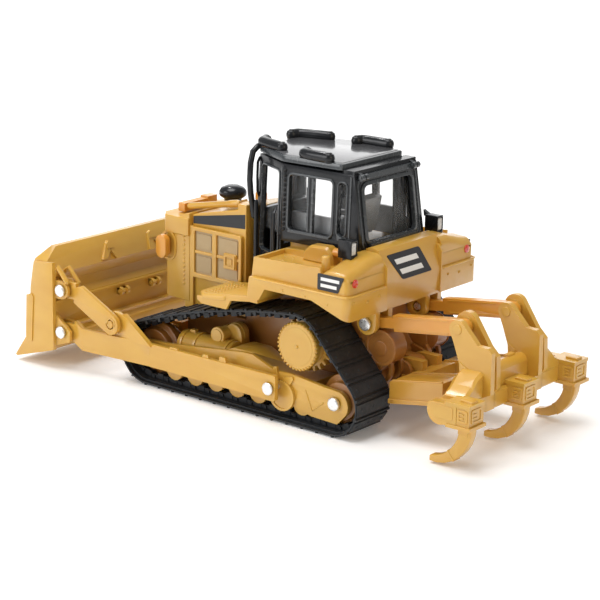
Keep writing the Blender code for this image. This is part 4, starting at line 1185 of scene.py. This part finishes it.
def tower(shape, outer, way):
    """Two cheek plates with a web between them behind the links; the plate on +X is the lower one."""
    spans = sorted(((way * 5.4, way * 6.7), (way * 9.3, way * 10.5)), key=sum)
    tall, low = (sorted(span) for span in spans)
    low_side = [(32.6, 11.5), (31.3, 16.6), (29.8, 20.6), (28.9, 22.6), *arc(LOW_EYE, 1.75, 190, 40, 10)]
    low_side += [(35.0, 21.0), (37.2, 20.9), (38.1, 20.1), (38.2, 12.4), (36.4, 11.5)]
    tall_side = [(32.4, 11.5), (30.2, 17.8), *arc(TALL_EYE, 2.3, 200, 25, 12)]
    tall_side += [(35.0, 20.0), (36.7, 18.4), (37.0, 12.4), (36.4, 11.5)]
    shape.prism(low_side, "x", *low)
    shape.prism(tall_side, "x", *tall)
    gap_low, gap_high = tall[1] - 0.1, low[0] + 0.1
    web = [(33.4, 15.3), (36.5, 15.3), (36.5, 18.6), (34.8, 20.2), (33.4, 19.2)]
    shape.prism(web, "x", gap_low, gap_high)
    shape.block((gap_low, 35.95, 8.6), (gap_high, 36.6, 15.6))
    groove = [(31.6, 12.6), (33.6, 12.6), (33.0, 16.4), (31.2, 17.4)]
    outer.prism(groove, "x", low[1] - 0.1, low[1] + 0.16)
    outer.disc("x", LOW_EYE, 0.95, low[1] - 0.1, low[1] + 0.2, 20, crown=0.12)
    outer.disc("x", TALL_EYE, 1.3, tall[1] - 0.1, tall[1] + 0.12, 20)


def ribbed_frame(detail, axis, span, low, high, ribs, rib_span):
    """Raised border with short ribs inside it, each given by its low and its high corner."""
    inner_low, inner_high = (low[0] + 0.4, low[1] + 0.4), (high[0] - 0.4, high[1] - 0.4)
    detail.frame(rounded(low, high, 0.35, 3), rounded(inner_low, inner_high, 0.2, 3), axis, *span)
    for rib in ribs:
        detail.prism(rounded(*rib, 0.08, 2), axis, *rib_span)


def pocket(shape, detail, x):
    """Closed shank holder with a rim, a lip round its foot and ribbed frames on its faces."""
    shape.block((x - 2.3, 35.0, 8.9), (x + 2.3, POCKET_REAR, 12.9))
    shape.block((x - 2.42, 34.8, 12.35), (x + 2.42, POCKET_REAR + 0.14, 12.98))
    shape.block((x - 2.6, 35.2, 8.3), (x + 2.6, POCKET_REAR + 0.45, 8.95))
    detail.prism(rounded((x - 0.9, 37.0), (x + 0.9, 39.6), 0.3, 3), "z", 12.9, 13.3)
    rear, rear_rib = (POCKET_REAR - 0.1, POCKET_REAR + 0.16), (POCKET_REAR - 0.1, POCKET_REAR + 0.14)
    ribs = [((x - 0.2, z), (x + 1.3, z + 0.3)) for z in (10.3, 11.0)]
    ribbed_frame(detail, "y", rear, (x - 1.6, 9.5), (x + 1.6, 12.1), ribs, rear_rib)
    ribs = [((37.8, z), (38.9, z + 0.28)) for z in (10.35, 11.05)]
    for face in (-1, 1):
        span = sorted((x + face * 2.2, x + face * 2.45))
        ribbed_frame(detail, "x", span, (37.5, 9.6), (39.7, 12.0), ribs, span)


def add_ripper_beam():
    """Cross beam in three stretches between the links, with towers, feet, end cheeks and pockets."""
    beam, detail = Shape(), Shape()
    profile = [(31.0, 8.9), (31.4, 8.5), (36.2, 8.5), (36.6, 8.9)]
    profile += [(36.6, 11.6), (36.2, 12.0), (31.4, 12.0), (31.0, 11.6)]
    for low, high in ((-18.4, -9.3), (-6.7, 6.7), (9.3, 18.4)):
        beam.prism(profile, "x", low, high)
    for way in SIDES.values():
        tower(beam, detail, way)
        rings = []
        for x, top in ((10.4, 16.4), (12.2, 15.6), (13.6, 14.2), (15.0, 13.2), (16.4, 12.7)):
            foot = [(31.3, 11.6), (36.5, 11.6), (36.5, top - 0.5), (35.9, top)]
            foot += [(32.2, top), (31.3, top - 0.9)]
            rings.append(placed(foot, "x", way * x))
        beam.loft(rings)
        cheek = [(31.8, 12.4), *arc((33.6, 10.9), 2.6, 150, 290, 12), (37.3, 8.7), (37.3, 12.6)]
        beam.plate(cheek, way, 18.2, 19.9)
        detail.plate(softened(rectangle((32.6, 9.6), (36.6, 12.0)), 0.5, 3), way, 19.8, 20.0)
    tie = [(32.4, 11.5), (35.7, 11.5), (35.7, 14.9), *arc((34.1, 14.6), 1.6, 10, 170, 8)]
    beam.prism(tie, "x", -5.5, 5.5)
    beam.prism([(33.0, 15.9), (34.4, 15.9), (34.2, 16.5), (33.2, 16.5)], "x", -3.4, -1.2)
    for x in SHANK_PLACES:
        pocket(beam, detail, x)
    body = "ripper_carrier"
    beam.piece("ripper_beam_body", "orange_plastic", YELLOW, ["ripper_beam"], 0.22, body)
    detail.piece("ripper_beam_details", "orange_plastic", YELLOW, edge=0.08, body=body)


def sloped_bar(shape, low, high, front, rear):
    """Flat bar between two x places whose front and rear ends are (y, bottom, top)."""
    rings = []
    for y, bottom, top in (front, rear):
        rings.append(placed(rectangle((low, bottom), (high, top)), "y", y))
    shape.loft(rings)


def add_ripper_frame_details():
    """Lower lips, raised edges, hitch eyes and front cheeks of the ripper's lower frame."""
    lip = Shape()
    for way in SIDES.values():
        sloped_bar(lip, way * 4.6, way * 12.3, (17.2, 6.6, 7.5), (28.7, 8.55, 9.45))
    sloped_bar(lip, -12.3, 12.3, (16.75, 6.55, 7.5), (18.0, 6.8, 7.7))
    for x in (-3.2, 1.7):
        lip.disc("x", (14.0, 10.3), 1.9, x - 0.12, x + 1.62, 24)
    for way in SIDES.values():
        for low, high in ((4.9, 5.5), (11.2, 11.8)):
            sloped_bar(lip, way * low, way * high, (17.2, 10.6, 11.15), (28.4, 12.6, 13.1))
        cheek = [(3.3, 17.0), (3.3, 14.6), (4.0, 13.9), (7.5, 16.2), (8.8, 17.0)]
        lip.prism([(way * x, y) for x, y in cheek], "z", 8.4, 9.9)
    # The details share the frame's painted-shade yellow.
    lip.piece("ripper_frame_details", "yellow_plastic", PAINTED_SHADE_FRAME, edge=0.12, body="ripper_frame")


def add_link_details():
    """Thin ribs along both edges of the upper links."""
    ahead = Vector((20.0, 2.7)).normalized()
    up = Vector((-ahead.y, ahead.x))
    start = Vector((10.0, 20.3))
    ribs = Shape()
    for way in SIDES.values():
        for rise in (-1.28, 1.0):
            rib = []
            for along, lift in ((6.4, rise), (17.6, rise), (17.6, rise + 0.28), (6.4, rise + 0.28)):
                rib.append(tuple(start + ahead * along + up * lift))
            for face in (7.0, 9.0):
                ribs.prism(rib, "x", way * face - 0.08, way * face + 0.08)
    # The ribs get the painted-shade orange through their slot.
    ribs.piece("ripper_link_ribs", "orange_plastic", edge=0.05, body="ripper_links")


def add_shank_details():
    """A worn-in step where each tooth tip is seated, and a notch at the foot of the pocket."""
    tips = Shape()
    centre, radius = Vector((31.1, 8.3)), 7.3
    for x in SHANK_PLACES:
        rings = []
        for turn in (-52.0, -53.5, -55.0):
            out = Vector((math.cos(math.radians(turn)), math.sin(math.radians(turn))))
            near, far = centre + out * (radius - 1.16), centre + out * (radius + 1.16)
            sides = ((-1.04, near), (1.04, near), (1.04, far), (-1.04, far))
            rings.append([Vector((x + off, spot.x, spot.y)) for off, spot in sides])
        tips.loft(rings)
        notch = [(36.9, 6.9), (38.9, 6.6), (39.0, 7.4), (39.9, 8.4), (36.9, 8.4)]
        tips.prism(notch, "x", x - 1.08, x + 1.08)
    tips.piece("shank_seats", "orange_plastic", YELLOW, edge=0.1, body="ripper_carrier")


DRUM_AXIS = (12.2, 15.6)


def add_final_drives():
    """Discs, rings and curved lugs between the tracks behind the drive axle, in the painted-shade brown."""
    drive = Shape()
    for way in SIDES.values():
        rings = [(way * 8.65, 3.6), (way * 8.95, 3.5), (way * 8.95, 2.9), (way * 8.6, 2.8)]
        drum = [(way * 4.8, 3.0), (way * 5.0, 3.4), (way * 8.6, 3.4), (way * 8.8, 3.2)]
        drive.turned("x", DRUM_AXIS, drum, 32)
        drive.turned("x", DRUM_AXIS, rings, 32, closed=True)
        drive.disc("x", DRUM_AXIS, 1.5, way * 8.5, way * 9.0, 24, crown=0.2)
        curve = arc((11.5, 11.4), 3.0, -70, 50, 10) + arc((11.5, 11.4), 2.2, 50, -70, 10)
        drive.plate(curve, way, 4.0, 5.0)
        drive.plate(curve, way, 7.2, 8.0)
        lug_side = [(9.5, 8.4), (12.6, 8.0), *arc((14.0, 10.3), 2.2, -60, 90, 8), (10.6, 13.4), (9.5, 12.6)]
        drive.plate(lug_side, way, 3.55, 4.3)
    drive.piece("final_drives", "yellow_plastic", PAINTED_SHADE_BROWN, edge=0.1)


# ---- the scene


def on_both_sides(add):
    for side, way in SIDES.items():
        add(side, way)


add_camera()
add_lights()
add_floor()
dress_packed_parts()
on_both_sides(add_track)
on_both_sides(add_hub)
on_both_sides(add_engine_door)
on_both_sides(add_hood_side)
add_roof()
add_cab_rear()
on_both_sides(add_cab_side)
add_cab_inside()
on_both_sides(add_work_lamp)
add_rear_body()
on_both_sides(add_fender_details)
on_both_sides(add_tail_lens)
add_rear_plate()
on_both_sides(add_fender_plate)
add_blade_details()
add_front_frame()
on_both_sides(add_frame_details)
add_ripper_beam()
add_ripper_frame_details()
add_link_details()
add_shank_details()
add_final_drives()
